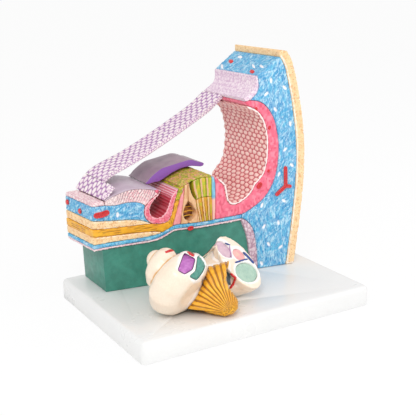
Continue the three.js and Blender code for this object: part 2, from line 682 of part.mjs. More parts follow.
const cochlea = new THREE.Group();
cochlea.position.set(COCHLEA.x, COCHLEA.y, plateTop + COCHLEA.height);
cochlea.rotation.set(-THREE.MathUtils.degToRad(COCHLEA.tilt), 0, THREE.MathUtils.degToRad(COCHLEA.turn), 'ZXY');
const coilFrame = new THREE.Group();
coilFrame.rotation.z = -THREE.MathUtils.degToRad(COCHLEA.roll);
cochlea.add(coilFrame);
model.add(cochlea);
cochlea.updateMatrixWorld(true);

const RING_SIDES = 20;

/** Oval ring round a point of the coil, square to the way that the tube runs. */
function tubeRing({ at, across, along }, direction) {
  const side = direction.clone().cross(new THREE.Vector3(0, 0, 1)).normalize();
  const up = direction.clone().cross(side).normalize();
  return Array.from({ length: RING_SIDES }, (_, i) => {
    const angle = i / RING_SIDES * 2 * Math.PI;
    return at.clone().addScaledVector(side, across * Math.cos(angle)).addScaledVector(up, along * Math.sin(angle));
  });
}

/** Stations along the whole tube: the stump and then the coil. */
function tubeStations(stepsPerQuarter = 3) {
  const stump = STUMP.map(({ at, across, along }) => ({ at: new THREE.Vector3(...at), across, along }));
  const quarters = COIL.centreRadius.length - 1;
  const rows = ['centreRadius', 'tubeRadius', 'rise'].map((row) => (
    new THREE.SplineCurve(COIL[row].map((value, i) => new THREE.Vector2(i, value)))
  ));
  const coil = Array.from({ length: quarters * stepsPerQuarter + 1 }, (_, i) => {
    const share = i / (quarters * stepsPerQuarter);
    const [centreRadius, tubeRadius, rise] = rows.map((row) => row.getPoint(share).y);
    const angle = THREE.MathUtils.degToRad(COIL.start + share * quarters * 90);
    const at = new THREE.Vector3(centreRadius * Math.cos(angle), centreRadius * Math.sin(angle), rise);
    return { at, across: tubeRadius, along: tubeRadius };
  });
  return [...stump, ...coil];
}

const stations = tubeStations();
const headings = stations.map((_, i) => {
  const before = stations[Math.max(0, i - 1)].at;
  const after = stations[Math.min(stations.length - 1, i + 1)].at;
  return after.clone().sub(before).normalize();
});

/** The tube, joined from short stretches and filled inside; `grown` widens it for cutting its neighbours. */
function coilSolid(grown = 0, stretch = 3) {
  const rings = stations.map(({ at, across, along }, i) => {
    const moved = at.clone().addScaledVector(headings[i], i === 0 ? -grown : 0);
    return tubeRing({ at: moved, across: across + grown, along: along + grown }, headings[i]);
  });
  let body = null;
  for (let first = 0; first < rings.length - 1; first += stretch) {
    const last = Math.min(first + stretch, rings.length - 1);
    const section = solid(loft(rings.slice(first, last + 1)));
    body = body ? body.add(section) : section;
  }
  const tip = stations.at(-1);
  const dome = new THREE.SphereGeometry(tip.across + grown, RING_SIDES, RING_SIDES / 2);
  dome.translate(...tip.at);
  const core = new THREE.CylinderGeometry(CORE.top + grown, CORE.base + grown, CORE.to - CORE.from, RING_SIDES);
  core.rotateX(Math.PI / 2).translate(0, 0, (CORE.from + CORE.to) / 2);
  return largest(body.add(solid(dome)).add(solid(core)));
}

const toCoil = coilFrame.matrixWorld.clone().invert();

/** Block of space below the top of the base plate, seen from the coil. */
function plateSpace() {
  const space = new THREE.BoxGeometry(PLATE.length, PLATE.width, PLATE.height);
  space.translate(0, 0, plateTop + SEAM - PLATE.height / 2);
  return solid(space.applyMatrix4(toCoil));
}

/** Ring of a bar that runs back along y and rises a little on the way, at one depth. */
function slantedRing(outline, depth) {
  return outline.map(({ x, y }) => new THREE.Vector3(x, depth, y + WINDOW.slant * depth));
}

/** Slanted bar through a window, between two depths. */
function windowBar(points, from, to) {
  const outline = anticlockwise(line(...points));
  return solid(loft([slantedRing(outline, to), slantedRing(outline, from)], inSection));
}

const windows = {
  window_vestibular: [[23.2, 16], [26.7, 4.3], [18.6, -0.8], [10.8, 1.5], [9, 9]],
  window_tympanic: [[30, 5.4], [33.8, -5], [22.8, -9.6], [14, -10.8], [12, -2.4], [19.5, -3.2]],
  window_duct: [[27.3, 17], [30.6, 9.9], [28.3, 6.7], [26.3, 10.3]],
};
const windowLook = {
  window_vestibular: LOOK.violet, window_tympanic: LOOK.windowGreen, window_duct: LOOK.windowRed,
};

const plainShell = largest(coilSolid()).subtract(plateSpace());
const stumpHeading = headings[0];
const stumpFace = stations[0];

/** Recess in the sawn face of the stump: place across and along the face, and its half widths. */
function chamberRings([across, along], [halfAcross, halfAlong], from, to, grown = 0) {
  const side = stumpHeading.clone().cross(new THREE.Vector3(0, 0, 1)).normalize();
  const up = stumpHeading.clone().cross(side).normalize();
  const centre = stumpFace.at.clone().addScaledVector(side, across).addScaledVector(up, along);
  return [from, to].map((depth) => Array.from({ length: RING_SIDES }, (_, i) => {
    const angle = i / RING_SIDES * 2 * Math.PI;
    return centre.clone().addScaledVector(stumpHeading, depth)
      .addScaledVector(side, (halfAcross + grown) * Math.cos(angle))
      .addScaledVector(up, (halfAlong + grown) * Math.sin(angle));
  }));
}

const chambers = [
  { name: 'chamber_vestibular', place: [-6, -17.5], half: [8.5, 10], recess: 2, look: LOOK.lilac },
  { name: 'chamber_duct', place: [7, -6.5], half: [7, 7.2], recess: 1, look: LOOK.cells },
  { name: 'chamber_tympanic', place: [1, 12.2], half: [15, 10.8], recess: 2, look: LOOK.windowGreen },
];

let shell = plainShell;
const sunkShell = plainShell.translate([-WINDOW.sunk / 2, WINDOW.sunk, 0]);
Object.entries(windows).forEach(([name, points]) => {
  shell = shell.subtract(windowBar(points, -60, WINDOW.back));
});
chambers.forEach(({ place, half }) => {
  shell = shell.subtract(solid(loft(chamberRings(place, half, -1, CHAMBER.depth))));
});
shell = drilled(shell, coilFrame);
piece(coilFrame, 'cochlea_shell', shapeOf(largest(solid(shapeOf(shell)))), LOOK.shell);

Object.entries(windows).forEach(([name, points]) => {
  const middle = points.reduce(([x, z], [px, pz]) => [x + px / points.length, z + pz / points.length], [0, 0]);
  const inner = points.map(([x, z]) => {
    const away = new THREE.Vector2(x - middle[0], z - middle[1]);
    const shrunk = away.setLength(away.length() - 2 * SEAM);
    return [middle[0] + shrunk.x, middle[1] + shrunk.y];
  });
  const filling = windowBar(inner, -60, WINDOW.back - SEAM).intersect(sunkShell);
  piece(coilFrame, name, shapeOf(largest(filling)), windowLook[name]);
});
chambers.forEach(({ name, place, half, recess, look }) => {
  const rings = chamberRings(place, half, recess, CHAMBER.depth - SEAM, -SEAM);
  piece(coilFrame, name, loft(rings), look);
});

// Nerve, a fan of fibres under the coil that gathers into a blunt end on the plate
const nerveOutline = curve([
  [27.4, -11.4], [19.8, -15.5], [14, -18.2], [1.2, -21.5], [-12.9, -24.8], [-8.1, -31.5], [-3.3, -36.7], [1.6, -45.7],
  [7.9, -54.9], [14.7, -58.7], [21.3, -58.4], [26.2, -53.6], [27.7, -41.3], [31.6, -31.5], [39.3, -26.2], [45.2, -21.7],
], 1);
const nerveLayers = [
  { depth: 42, size: 0.8 }, { depth: 34, size: 1 }, { depth: 16, size: 1 }, { depth: 11.5, size: 0.92 }, { depth: 9, size: 0.74 },
];
const nerveMiddle = new THREE.Vector2(16, -34);
const nerveRings = nerveLayers.map(({ depth, size }) => (
  slantedRing(anticlockwise(nerveOutline).map((point) => nerveMiddle.clone().lerp(point, size)), depth)
));
const nerveFan = solid(loft(nerveRings, inSection));
const nerveShape = nerveFan.subtract(coilSolid(SEAM)).subtract(plainShell.translate([0, -SEAM, 0])).subtract(plainShell)
  .subtract(plateSpace());
piece(coilFrame, 'cochlear_nerve', shapeOf(largest(nerveShape)), LOOK.nerve);

export default model;
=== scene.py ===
"""Looks of the cochlea teaching model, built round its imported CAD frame. Metres, +Z up."""

import functools
import itertools
import json
import math

import bmesh
import bpy
import numpy as np
from mathutils import Matrix, Vector
from mathutils.bvhtree import BVHTree
from mathutils.kdtree import KDTree


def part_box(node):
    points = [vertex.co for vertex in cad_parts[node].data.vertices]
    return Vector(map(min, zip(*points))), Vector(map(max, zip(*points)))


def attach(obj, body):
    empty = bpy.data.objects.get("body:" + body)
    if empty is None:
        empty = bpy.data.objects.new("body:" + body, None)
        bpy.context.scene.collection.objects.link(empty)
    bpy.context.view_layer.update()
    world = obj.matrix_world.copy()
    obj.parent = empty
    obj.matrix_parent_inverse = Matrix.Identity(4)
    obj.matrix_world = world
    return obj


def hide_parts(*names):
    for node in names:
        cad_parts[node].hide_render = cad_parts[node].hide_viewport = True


MM = 0.001
# Side of the photograph in pixels
PHOTO = 416

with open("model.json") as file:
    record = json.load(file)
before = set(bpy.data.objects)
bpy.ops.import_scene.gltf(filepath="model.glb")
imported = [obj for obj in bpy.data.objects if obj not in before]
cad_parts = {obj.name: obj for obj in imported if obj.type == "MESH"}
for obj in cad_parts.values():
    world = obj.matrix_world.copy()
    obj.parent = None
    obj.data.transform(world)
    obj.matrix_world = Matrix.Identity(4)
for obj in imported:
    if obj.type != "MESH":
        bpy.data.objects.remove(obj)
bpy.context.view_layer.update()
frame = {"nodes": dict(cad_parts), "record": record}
SLOTS = {row["node"]: row["material_slot"] for row in frame["record"]["subparts"]}

# The slice's own frame: x from its left end, depth from its back, height from the plate
SLICE_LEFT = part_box("canal_block")[0].x - 9 * MM
SLICE_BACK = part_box("basilar_membrane")[1].y
PLATE_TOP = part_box("base_plate")[1].z

# Camera at the photograph's place, with its turns in radians and its lens in millimetres
CAMERA = Vector((-0.39811, -0.66349, 0.31980))
CAMERA_YAW = 0.5355
CAMERA_PITCH = 0.2797
CAMERA_ROLL = -0.0123
LENS = 71.16
SENSOR = 36.0
FOCAL = PHOTO * LENS / SENSOR


def view_axes():
    """Right, up and forward of the photograph's view."""
    forward = Vector((
        math.sin(CAMERA_YAW) * math.cos(CAMERA_PITCH),
        math.cos(CAMERA_YAW) * math.cos(CAMERA_PITCH),
        -math.sin(CAMERA_PITCH),
    ))
    level = Vector((math.cos(CAMERA_YAW), -math.sin(CAMERA_YAW), 0))
    plumb = level.cross(forward)
    right = level * math.cos(CAMERA_ROLL) + plumb * math.sin(CAMERA_ROLL)
    up = plumb * math.cos(CAMERA_ROLL) - level * math.sin(CAMERA_ROLL)
    return right, up, forward


RIGHT, UP, FORWARD = view_axes()


def link(obj):
    bpy.context.scene.collection.objects.link(obj)
    return obj


def add_camera():
    data = bpy.data.cameras.new("photo_camera")
    data.lens = LENS
    data.sensor_width = SENSOR
    data.clip_start = 0.01
    data.clip_end = 20
    camera = link(bpy.data.objects.new("photo_camera", data))
    turn = Matrix((RIGHT, UP, -FORWARD)).transposed().to_4x4()
    camera.matrix_world = Matrix.Translation(CAMERA) @ turn
    bpy.context.scene.camera = camera


def sight(pixel):
    """Direction of the ray through a pixel of the photograph."""
    across = (pixel[0] - PHOTO / 2) / FOCAL
    down = (pixel[1] - PHOTO / 2) / FOCAL
    return (FORWARD + RIGHT * across - UP * down).normalized()


# Random numbers and patterns, the same in each run


HASH_WEIGHTS = (12.9898, 78.233, 37.719)
HASH_SEED = 0.7531
HASH_START = 0.137
HASH_GAIN = 43758.5453
# Farther than anything that a search here can find
FAR = 9.0


def hashed(cell, seed):
    """One number from 0 to 1 for each cell of a lattice."""
    total = seed * HASH_SEED + HASH_START
    for place, weight in zip(cell, HASH_WEIGHTS):
        total = total + place * weight
    return np.abs(np.sin(total) * HASH_GAIN) % 1.0


def smoothstep(low, high, value):
    """0 before `low`, 1 past `high` and a smooth change between them."""
    share = np.clip((value - low) / (high - low), 0.0, 1.0)
    return share * share * (3.0 - 2.0 * share)


def ridges(way, pitch, shift=0.0):
    """Waves from 0 to 1 along a length, with the crests one pitch apart."""
    return 0.5 + 0.5 * np.cos(way / pitch * math.tau + shift)


def soft_noise(axes, seed=0):
    """Smooth random values from 0 to 1, with one feature per unit."""
    floors = [np.floor(axis) for axis in axes]
    shares = [smoothstep(0.0, 1.0, axis - floor) for axis, floor in zip(axes, floors)]
    total = np.zeros_like(axes[0])
    for corner in itertools.product((0, 1), repeat=len(axes)):
        weight = np.ones_like(total)
        for step, share in zip(corner, shares):
            weight = weight * (share if step else 1.0 - share)
        total += weight * hashed([f + step for f, step in zip(floors, corner)], seed)
    return total


def cells(axes, jitter=0.4, seed=0, brick=False):
    """Cells of one unit each: how far a point is from the next border, and each cell's random tone."""
    home = [np.floor(axis) for axis in axes]
    nearest = np.full(axes[0].shape, FAR)
    second = nearest.copy()
    tone = np.zeros_like(nearest)
    for offset in itertools.product((-1, 0, 1), repeat=len(axes)):
        cell = [place + step for place, step in zip(home, offset)]
        square = np.zeros_like(nearest)
        for i, (axis, place) in enumerate(zip(axes, cell)):
            centre = place + 0.5 + jitter * (hashed(cell, seed + i + 1) - 0.5)
            if brick and i == 0:
                centre = centre + 0.5 * (cell[1] % 2)
            square += (axis - centre) ** 2
        distance = np.sqrt(square)
        closer = distance < nearest
        second = np.where(closer, nearest, np.minimum(second, distance))
        tone = np.where(closer, hashed(cell, seed + 7), tone)
        nearest = np.where(closer, distance, nearest)
    return second - nearest, tone


# How far a tuft lies off its cell's middle, how ragged its edge is, and how its lean varies in radians
TUFT_JITTER = 0.7
TUFT_EDGE = 0.12
TUFT_TURN = 1.5


def tufts(across, up, size, length, width, lean, seed=0):
    """Short strokes in tufts, each tuft leaning its own way round the angle `lean`."""
    home = [np.floor(across / size), np.floor(up / size)]
    nearest = np.full(across.shape, FAR)
    strokes = np.zeros_like(nearest)
    for offset in itertools.product((-1, 0, 1), repeat=2):
        cell = [place + step for place, step in zip(home, offset)]
        dx = across / size - cell[0] - 0.5 - TUFT_JITTER * (hashed(cell, seed + 1) - 0.5)
        dy = up / size - cell[1] - 0.5 - TUFT_JITTER * (hashed(cell, seed + 2) - 0.5)
        distance = np.hypot(dx, dy) + TUFT_EDGE * soft_noise((across / 3, up / 3), seed + 3)
        angle = lean + TUFT_TURN * (hashed(cell, seed + 4) - 0.5)
        along = (dx * np.cos(angle) + dy * np.sin(angle)) * size
        beside = (dy * np.cos(angle) - dx * np.sin(angle)) * size
        stroke = soft_noise((along / length + cell[0] * 17, beside / width + cell[1] * 29), seed + 5)
        closer = distance < nearest
        strokes = np.where(closer, stroke, strokes)
        nearest = np.where(closer, distance, nearest)
    return smoothstep(0.3, 0.7, strokes)


# Surfaces of the CAD nodes, made fine enough for carving


def welded(node):
    """Copy of a CAD node's mesh with its corners joined."""
    mesh = frame["nodes"][node].data.copy()
    mesh.materials.clear()
    work = bmesh.new()
    work.from_mesh(mesh)
    bmesh.ops.remove_doubles(work, verts=work.verts, dist=0.01 * MM)
    work.to_mesh(mesh)
    work.free()
    names = [attribute.name for attribute in mesh.attributes]
    for name in names:
        if name.startswith("custom_normal"):
            mesh.attributes.remove(mesh.attributes[name])
    return mesh


def evaluated(obj):
    """Mesh of an object with its modifiers applied; the object goes."""
    graph = bpy.context.evaluated_depsgraph_get()
    finished = obj.evaluated_get(graph)
    mesh = bpy.data.meshes.new_from_object(finished, preserve_all_data_layers=True, depsgraph=graph)
    bpy.data.objects.remove(obj)
    return mesh


def fine_mesh(node, voxel, softening):
    obj = link(bpy.data.objects.new("work", welded(node)))
    remesh = obj.modifiers.new("remesh", "REMESH")
    remesh.mode = "VOXEL"
    remesh.voxel_size = voxel * MM
    smooth = obj.modifiers.new("smooth", "SMOOTH")
    smooth.factor = 0.5
    smooth.iterations = softening
    return evaluated(obj)


# Share of the hidden faces that thinning takes away
HIDDEN_SHARE = 0.8


def thinned(mesh, hidden):
    """Fewer faces where neighbours hide the surface."""
    obj = link(bpy.data.objects.new("work", mesh))
    group = obj.vertex_groups.new(name="hidden")
    for index in np.flatnonzero(hidden):
        group.add([int(index)], 1.0, "REPLACE")
    decimate = obj.modifiers.new("thin", "DECIMATE")
    decimate.ratio = 1.0 - HIDDEN_SHARE * float(hidden.mean())
    decimate.vertex_group = "hidden"
    decimate.vertex_group_factor = 10
    return evaluated(obj)


def vectors(collection, name):
    """One row of three numbers for each member of a mesh's collection."""
    values = np.zeros(len(collection) * 3)
    collection.foreach_get(name, values)
    return values.reshape(-1, 3)


def search_tree(meshes):
    """One search tree of several meshes."""
    corners = []
    faces = []
    for mesh in meshes:
        start = len(corners)
        corners.extend(vertex.co for vertex in mesh.vertices)
        faces.extend([start + i for i in polygon.vertices] for polygon in mesh.polygons)
    return BVHTree.FromPolygons(corners, faces)


def neighbours_of(node):
    """Search tree of all other CAD nodes."""
    return search_tree(obj.data for name, obj in frame["nodes"].items() if name != node)


class Surface:
    """Points of a fine mesh in the slice's frame, in millimetres, with what patterns need to know."""

    # A neighbour nearer than this hides the surface
    HIDING_GAP = 1.4 * MM
    # Normals that point this far forward belong to the front face
    FRONT = -0.7

    def __init__(self, node, mesh):
        self.mesh = mesh
        self.points = vectors(mesh.vertices, "co")
        self.normals = vectors(mesh.vertex_normals, "vector")
        self.x = (self.points[:, 0] - SLICE_LEFT) / MM
        self.depth = (SLICE_BACK - self.points[:, 1]) / MM
        self.z = (self.points[:, 2] - PLATE_TOP) / MM
        self.front = self.normals[:, 1] < self.FRONT
        tree = neighbours_of(node)
        self.open = np.array([
            tree.ray_cast(Vector(point), Vector(normal), self.HIDING_GAP)[0] is None
            for point, normal in zip(self.points, self.normals)
        ], dtype=bool)

    def grid(self, x, depth, z):
        """The three coordinates, each in pitches of so many millimetres."""
        return self.x / x, self.depth / depth, self.z / z

    def off(self, chosen, reach):
        """1 at the chosen points, falling to 0 at `reach` millimetres from them."""
        tree = KDTree(int(chosen.sum()) + 1)
        for index in np.flatnonzero(chosen):
            tree.insert(self.points[index], int(index))
        tree.insert((FAR, FAR, FAR), 0)
        tree.balance()
        distances = np.array([tree.find(point)[2] for point in self.points]) / MM
        return 1.0 - smoothstep(0.6 * reach, reach, distances)

    def round_way(self, centre, bins=120):
        """Length along the open surface round a centre of the section."""
        angle = np.arctan2(self.z - centre[1], self.x - centre[0])
        radius = np.hypot(self.z - centre[1], self.x - centre[0])
        edges = np.linspace(-math.pi, math.pi, bins + 1)
        spot = np.digitize(angle, edges) - 1
        inner = self.open & ~self.front
        typical = radius[inner].mean()
        radii = np.array([
            np.median(radius[inner & (spot == i)]) if (inner & (spot == i)).any() else typical
            for i in range(bins)
        ])
        step = np.hypot(radii * (edges[1] - edges[0]), np.diff(np.append(radii, radii[-1])))
        return np.interp(angle, edges[1:], np.cumsum(step))

    def share_across(self, bins=60):
        """0 at the left side of the front face and 1 at its right side, at each height."""
        spot = np.clip(((self.z - self.z.min()) / np.ptp(self.z) * bins).astype(int), 0, bins - 1)
        share = np.zeros_like(self.z)
        for i in range(bins):
            here = spot == i
            if (here & self.front).any():
                low, high = self.x[here & self.front].min(), self.x[here & self.front].max()
                share[here] = (self.x[here] - low) / max(high - low, 0.5)
        return np.clip(share, 0, 1)


# Marks that a pattern can give besides the height
ATTRIBUTES = ("groove", "tone", "accent", "stroke")


def piece(name, mesh, look, slot, replaced=()):
    """Adds a finished piece, which rides the object's one body."""
    mesh.materials.clear()
    mesh.materials.append(LOOKS[look])
    obj = link(bpy.data.objects.new(name, mesh))
    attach(obj, "root")
    if replaced:
        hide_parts(*replaced)


def store_mark(mesh, name, values):
    """Stores one number for each point, which the materials read by its name."""
    layer = mesh.attributes.new(name, "FLOAT", "POINT")
    layer.data.foreach_set("value", np.asarray(values, np.float32))


def carved(node, look, pattern, voxel=0.9, softening=3):
    """Replaces a CAD node by a fine mesh of the same shape, carved and marked by a pattern."""
    mesh = fine_mesh(node, voxel, softening)
    surface = Surface(node, mesh)
    marks = pattern(surface)
    height = marks.get("height", np.zeros_like(surface.x)) * surface.open
    moved = surface.points + surface.normals * (height * MM)[:, None]
    mesh.vertices.foreach_set("co", moved.ravel())
    for name in ATTRIBUTES:
        if name in marks:
            store_mark(mesh, name, marks[name])
    mesh.update()
    mesh = thinned(mesh, ~surface.open)
    mesh.shade_smooth()
    piece(node + "_cast", mesh, look, SLOTS[node], [node])


def rounded(node, look, radius=0.8, segments=3, marks=None):
    """Replaces a CAD node by the same shape with rounded edges."""
    mesh = welded(node)
    work = bmesh.new()
    work.from_mesh(mesh)
    bmesh.ops.dissolve_limit(work, angle_limit=math.radians(1), verts=work.verts, edges=work.edges)
    work.to_mesh(mesh)
    work.free()
    obj = link(bpy.data.objects.new("work", mesh))
    bevel = obj.modifiers.new("bevel", "BEVEL")
    bevel.width = radius * MM
    bevel.segments = segments
    bevel.limit_method = "ANGLE"
    bevel.angle_limit = math.radians(35)
    mesh = evaluated(obj)
    mesh.shade_smooth()
    mesh.set_sharp_from_angle(angle=math.radians(40))
    if marks:
        normals = vectors(mesh.vertex_normals, "vector")
        for name, values in marks(normals).items():
            store_mark(mesh, name, values)
    piece(node + "_cast", mesh, look, SLOTS[node], [node])


# Materials


def linear(colour):
    """Shader colour of a colour given as three numbers up to 255."""
    shares = [part / 255 for part in colour]
    return [c / 12.92 if c <= 0.04045 else ((c + 0.055) / 1.055) ** 2.4 for c in shares] + [1.0]


class Shader:
    """Builds the nodes of a material or of the world."""

    def __init__(self, owner):
        self.owner = owner
        owner.use_nodes = True
        self.tree = owner.node_tree
        self.tree.nodes.clear()

    @functools.cached_property
    def place(self):
        return self.add("TexCoord").outputs["Object"]

    def add(self, kind, inputs=(), **settings):
        node = self.tree.nodes.new("ShaderNode" + kind)
        for name, value in settings.items():
            setattr(node, name, value)
        for socket, value in dict(inputs).items():
            if isinstance(value, bpy.types.NodeSocket):
                self.tree.links.new(value, node.inputs[socket])
            else:
                node.inputs[socket].default_value = value
        return node

    def attribute(self, name):
        return self.add("Attribute", attribute_name=name).outputs["Fac"]

    def stretched(self, stretch):
        return self.add("Mapping", {"Vector": self.place, "Scale": stretch}).outputs[0]

    def noise(self, size, detail=3.0, stretch=(1, 1, 1), distortion=0.0):
        """Noise with features of about `size` millimetres."""
        sockets = {"Vector": self.stretched(stretch), "Scale": 1 / (size * MM), "Detail": detail}
        sockets["Distortion"] = distortion
        return self.add("TexNoise", sockets).outputs["Fac"]

    def spots(self, size):
        sockets = {"Vector": self.place, "Scale": 1 / (size * MM)}
        return self.add("TexVoronoi", sockets).outputs["Distance"]

    def scaled(self, value, low, high, to_low=0.0, to_high=1.0):
        sockets = {"Value": value, 1: low, 2: high, 3: to_low, 4: to_high}
        return self.add("MapRange", sockets).outputs[0]

    def times(self, value, factor):
        return self.add("Math", {0: value, 1: factor}, operation="MULTIPLY").outputs[0]

    def mix(self, share, first, second):
        first = first if isinstance(first, bpy.types.NodeSocket) else linear(first)
        second = second if isinstance(second, bpy.types.NodeSocket) else linear(second)
        return self.add("Mix", {0: share, 6: first, 7: second}, data_type="RGBA").outputs[2]

    def bump(self, height, distance, strength=0.6):
        sockets = {"Height": height, "Distance": distance * MM, "Strength": strength}
        return self.add("Bump", sockets).outputs[0]

    def finish(self, colour, roughness, normal, coat=0.0, metallic=0.0):
        sockets = {
            "Base Color": colour, "Roughness": roughness, "Normal": normal,
            "Coat Weight": coat, "Coat Roughness": 0.15, "Metallic": metallic,
        }
        surface = self.add("BsdfPrincipled", sockets)
        self.add("OutputMaterial", {"Surface": surface.outputs[0]})
        return self.owner


def paint(name, base, second, roughness=0.5, coat=0.0, blotch=6.0, grain=0.5, bump=0.12, dirt=0.1,
          tone=None, stroke=None, speck=None, hatch=None, groove=None, accent=None):
    """Brushed-on model paint: two mixed colours, then the marks that the mesh carries."""
    shader = Shader(bpy.data.materials.new(name))
    colour = shader.mix(shader.scaled(shader.noise(blotch), 0.35, 0.65), base, second)
    if tone:
        colour = shader.mix(shader.times(shader.attribute("tone"), 0.75), colour, tone)
    if stroke:
        colour = shader.mix(shader.attribute("stroke"), colour, stroke)
    if speck:
        near = shader.scaled(shader.spots(speck["size"]), 0.34, 0.22)
        some = shader.scaled(shader.noise(speck["size"] * 1.6), 0.42, 0.5)
        colour = shader.mix(shader.times(near, some), colour, speck["colour"])
    if hatch:
        lines = shader.noise(hatch["size"], detail=2.0, stretch=hatch["stretch"], distortion=hatch["twist"])
        colour = shader.mix(shader.scaled(lines, 0.53, 0.6, 0.0, 0.75), colour, hatch["colour"])
    if groove:
        colour = shader.mix(shader.attribute("groove"), colour, groove)
    if accent:
        colour = shader.mix(shader.attribute("accent"), colour, accent)
    fine = shader.noise(grain, detail=4.0)
    shade = shader.scaled(fine, 0.3, 0.7, 0.0, dirt)
    colour = shader.mix(shade, colour, [part * 0.55 for part in second])
    rough = shader.scaled(shader.noise(blotch * 0.6), 0.3, 0.7, roughness - 0.07, roughness + 0.09)
    return shader.finish(colour, rough, shader.bump(fine, bump), coat=coat)


LOOKS = {
    "green": paint(
        "canal_green", (62, 140, 122), (50, 122, 106), roughness=0.42, blotch=9, grain=1.6, coat=0.15),
    "skin": paint(
        "pale_skin", (248, 234, 232), (242, 220, 222), tone=(240, 206, 210), groove=(222, 172, 182)),
    "root": paint(
        "root_skin", (247, 234, 238), (238, 220, 230), tone=(234, 212, 226), groove=(210, 176, 204)),
    "wall_skin": paint(
        "wall_skin", (234, 214, 220), (216, 188, 200), tone=(206, 174, 190), groove=(174, 132, 152)),
    "blue": paint(
        "tissue_blue", (118, 200, 230), (98, 186, 224), stroke=(48, 144, 202), tone=(204, 232, 244),
        groove=(72, 158, 208), accent=(250, 248, 250), blotch=5,
        hatch={"size": 2.4, "stretch": (1.4, 1.0, 0.5), "twist": 1.6, "colour": (36, 128, 190)}),
    "border": paint(
        "border_blue", (158, 212, 232), (136, 200, 226), stroke=(90, 166, 208), groove=(96, 168, 206),
        accent=(244, 190, 176), blotch=3),
    "white": paint("white_tissue", (248, 244, 246), (238, 236, 242), roughness=0.4, blotch=3),
    "bone": paint(
        "bone", (252, 220, 172), (248, 206, 154), groove=(216, 158, 104), accent=(254, 244, 232),
        speck={"size": 1.5, "colour": (206, 148, 98)}, blotch=5, bump=0.2),
    "nerve": paint(
        "nerve_yellow", (246, 184, 40), (234, 162, 28), groove=(146, 86, 20), roughness=0.4, coat=0.2),
    "pink": paint(
        "duct_pink", (248, 122, 146), (240, 104, 132), stroke=(222, 84, 112), tone=(252, 150, 168),
        groove=(206, 70, 92), accent=(252, 226, 228), roughness=0.42),
    "sulcus": paint(
        "sulcus_pink", (246, 120, 144), (240, 100, 128), stroke=(186, 36, 48), tone=(252, 166, 180),
        groove=(206, 62, 86), accent=(252, 216, 220), roughness=0.38, coat=0.15),
    "cells": paint(
        "lining_cells", (255, 230, 220), (252, 216, 206), tone=(248, 196, 188), groove=(196, 50, 70),
        accent=(252, 238, 236), roughness=0.4, coat=0.1),
    "teeth": paint(
        "limbus_teeth", (252, 228, 226), (247, 212, 214), tone=(254, 240, 236), stroke=(240, 172, 182),
        groove=(170, 144, 152), blotch=3),
    "lilac": paint(
        "cover_lilac", (200, 182, 196), (188, 168, 184), roughness=0.38, blotch=12, grain=1.2, coat=0.2),
    "violet": paint(
        "tectorial_violet", (170, 146, 160), (156, 130, 148), accent=(138, 84, 176), roughness=0.38,
        blotch=12, grain=1.2, coat=0.2),
    "violet_line": paint("line_violet", (176, 120, 180), (160, 104, 166), roughness=0.4, blotch=3),
    "window_violet": paint("window_violet", (196, 122, 194), (174, 98, 174), roughness=0.45, blotch=3),
    "scales": paint(
        "membrane_scales", (248, 240, 234), (244, 230, 232), tone=(240, 218, 230), groove=(160, 104, 168),
        roughness=0.42),
    "hair": paint(
        "hair_cells", (202, 200, 44), (170, 188, 36), tone=(226, 180, 60), stroke=(136, 156, 24),
        groove=(104, 104, 24), accent=(232, 178, 150), blotch=3),
    "organ_top": paint(
        "organ_top", (202, 192, 54), (224, 172, 92), tone=(234, 164, 140), stroke=(160, 176, 36),
        groove=(120, 90, 40), accent=(240, 200, 120), blotch=3),
    "deiters": paint(
        "support_cells", (228, 176, 40), (214, 150, 44), tone=(186, 186, 44), stroke=(196, 118, 30),
        groove=(128, 66, 26), accent=(238, 196, 148), blotch=3),
    "pillar": paint(
        "pillar_beige", (238, 196, 150), (230, 178, 130), stroke=(206, 146, 96), groove=(160, 96, 60),
        blotch=3),
    "support_pink": paint(
        "inner_support_pink", (246, 168, 170), (240, 146, 152), stroke=(224, 112, 130), blotch=3),
    "cave": paint("tunnel_brown", (128, 72, 34), (96, 48, 22), stroke=(190, 120, 40), groove=(60, 28, 12)),
    "slot": paint("slot_green", (44, 98, 40), (28, 72, 34), stroke=(96, 138, 50), groove=(18, 44, 20)),
    "red": paint(
        "vessel_red", (222, 34, 38), (204, 24, 32), groove=(150, 10, 20), accent=(196, 20, 30),
        roughness=0.28, coat=0.5, blotch=3, grain=1.0, bump=0.05),
    # The shell's groove colour is painted shade in the creases between its turns
    "shell": paint(
        "shell_ivory", (247, 231, 211), (245, 225, 203), groove=(222, 170, 108), accent=(254, 251, 247),
        roughness=0.38, coat=0.25, blotch=14, grain=1.4, bump=0.05),
    "window_green": paint("window_green", (92, 160, 146), (72, 140, 126), roughness=0.45, blotch=3),
    "chamber_green": paint("chamber_green", (178, 206, 188), (160, 192, 176), roughness=0.45, blotch=5),
    "chamber_lilac": paint("chamber_lilac", (220, 190, 200), (206, 172, 190), roughness=0.45, blotch=5),
    "chamber_pink": paint("chamber_pink", (248, 196, 180), (244, 170, 172), roughness=0.45, blotch=5),
    "divider_blue": paint("divider_blue", (34, 72, 150), (24, 58, 132), roughness=0.35, coat=0.3, blotch=3),
    "grey": paint("cut_grey", (104, 124, 132), (84, 100, 110), roughness=0.45, blotch=3),
    "plate": paint(
        "plate_white", (234, 234, 233), (231, 231, 230), roughness=0.3, coat=0.3, blotch=60, grain=2.4,
        bump=0.015, dirt=0.02),
    "rubber": paint("foot_rubber", (60, 60, 60), (48, 48, 48), roughness=0.8, blotch=4, grain=0.8),
}


def steel():
    """Plain plated screw steel with turning marks."""
    shader = Shader(bpy.data.materials.new("screw_steel"))
    marks = shader.noise(0.4, stretch=(1, 1, 6))
    colour = shader.mix(marks, (190, 192, 196), (164, 166, 172))
    rough = shader.scaled(marks, 0.3, 0.7, 0.25, 0.4)
    return shader.finish(colour, rough, shader.bump(marks, 0.02), metallic=1.0)


LOOKS["steel"] = steel()


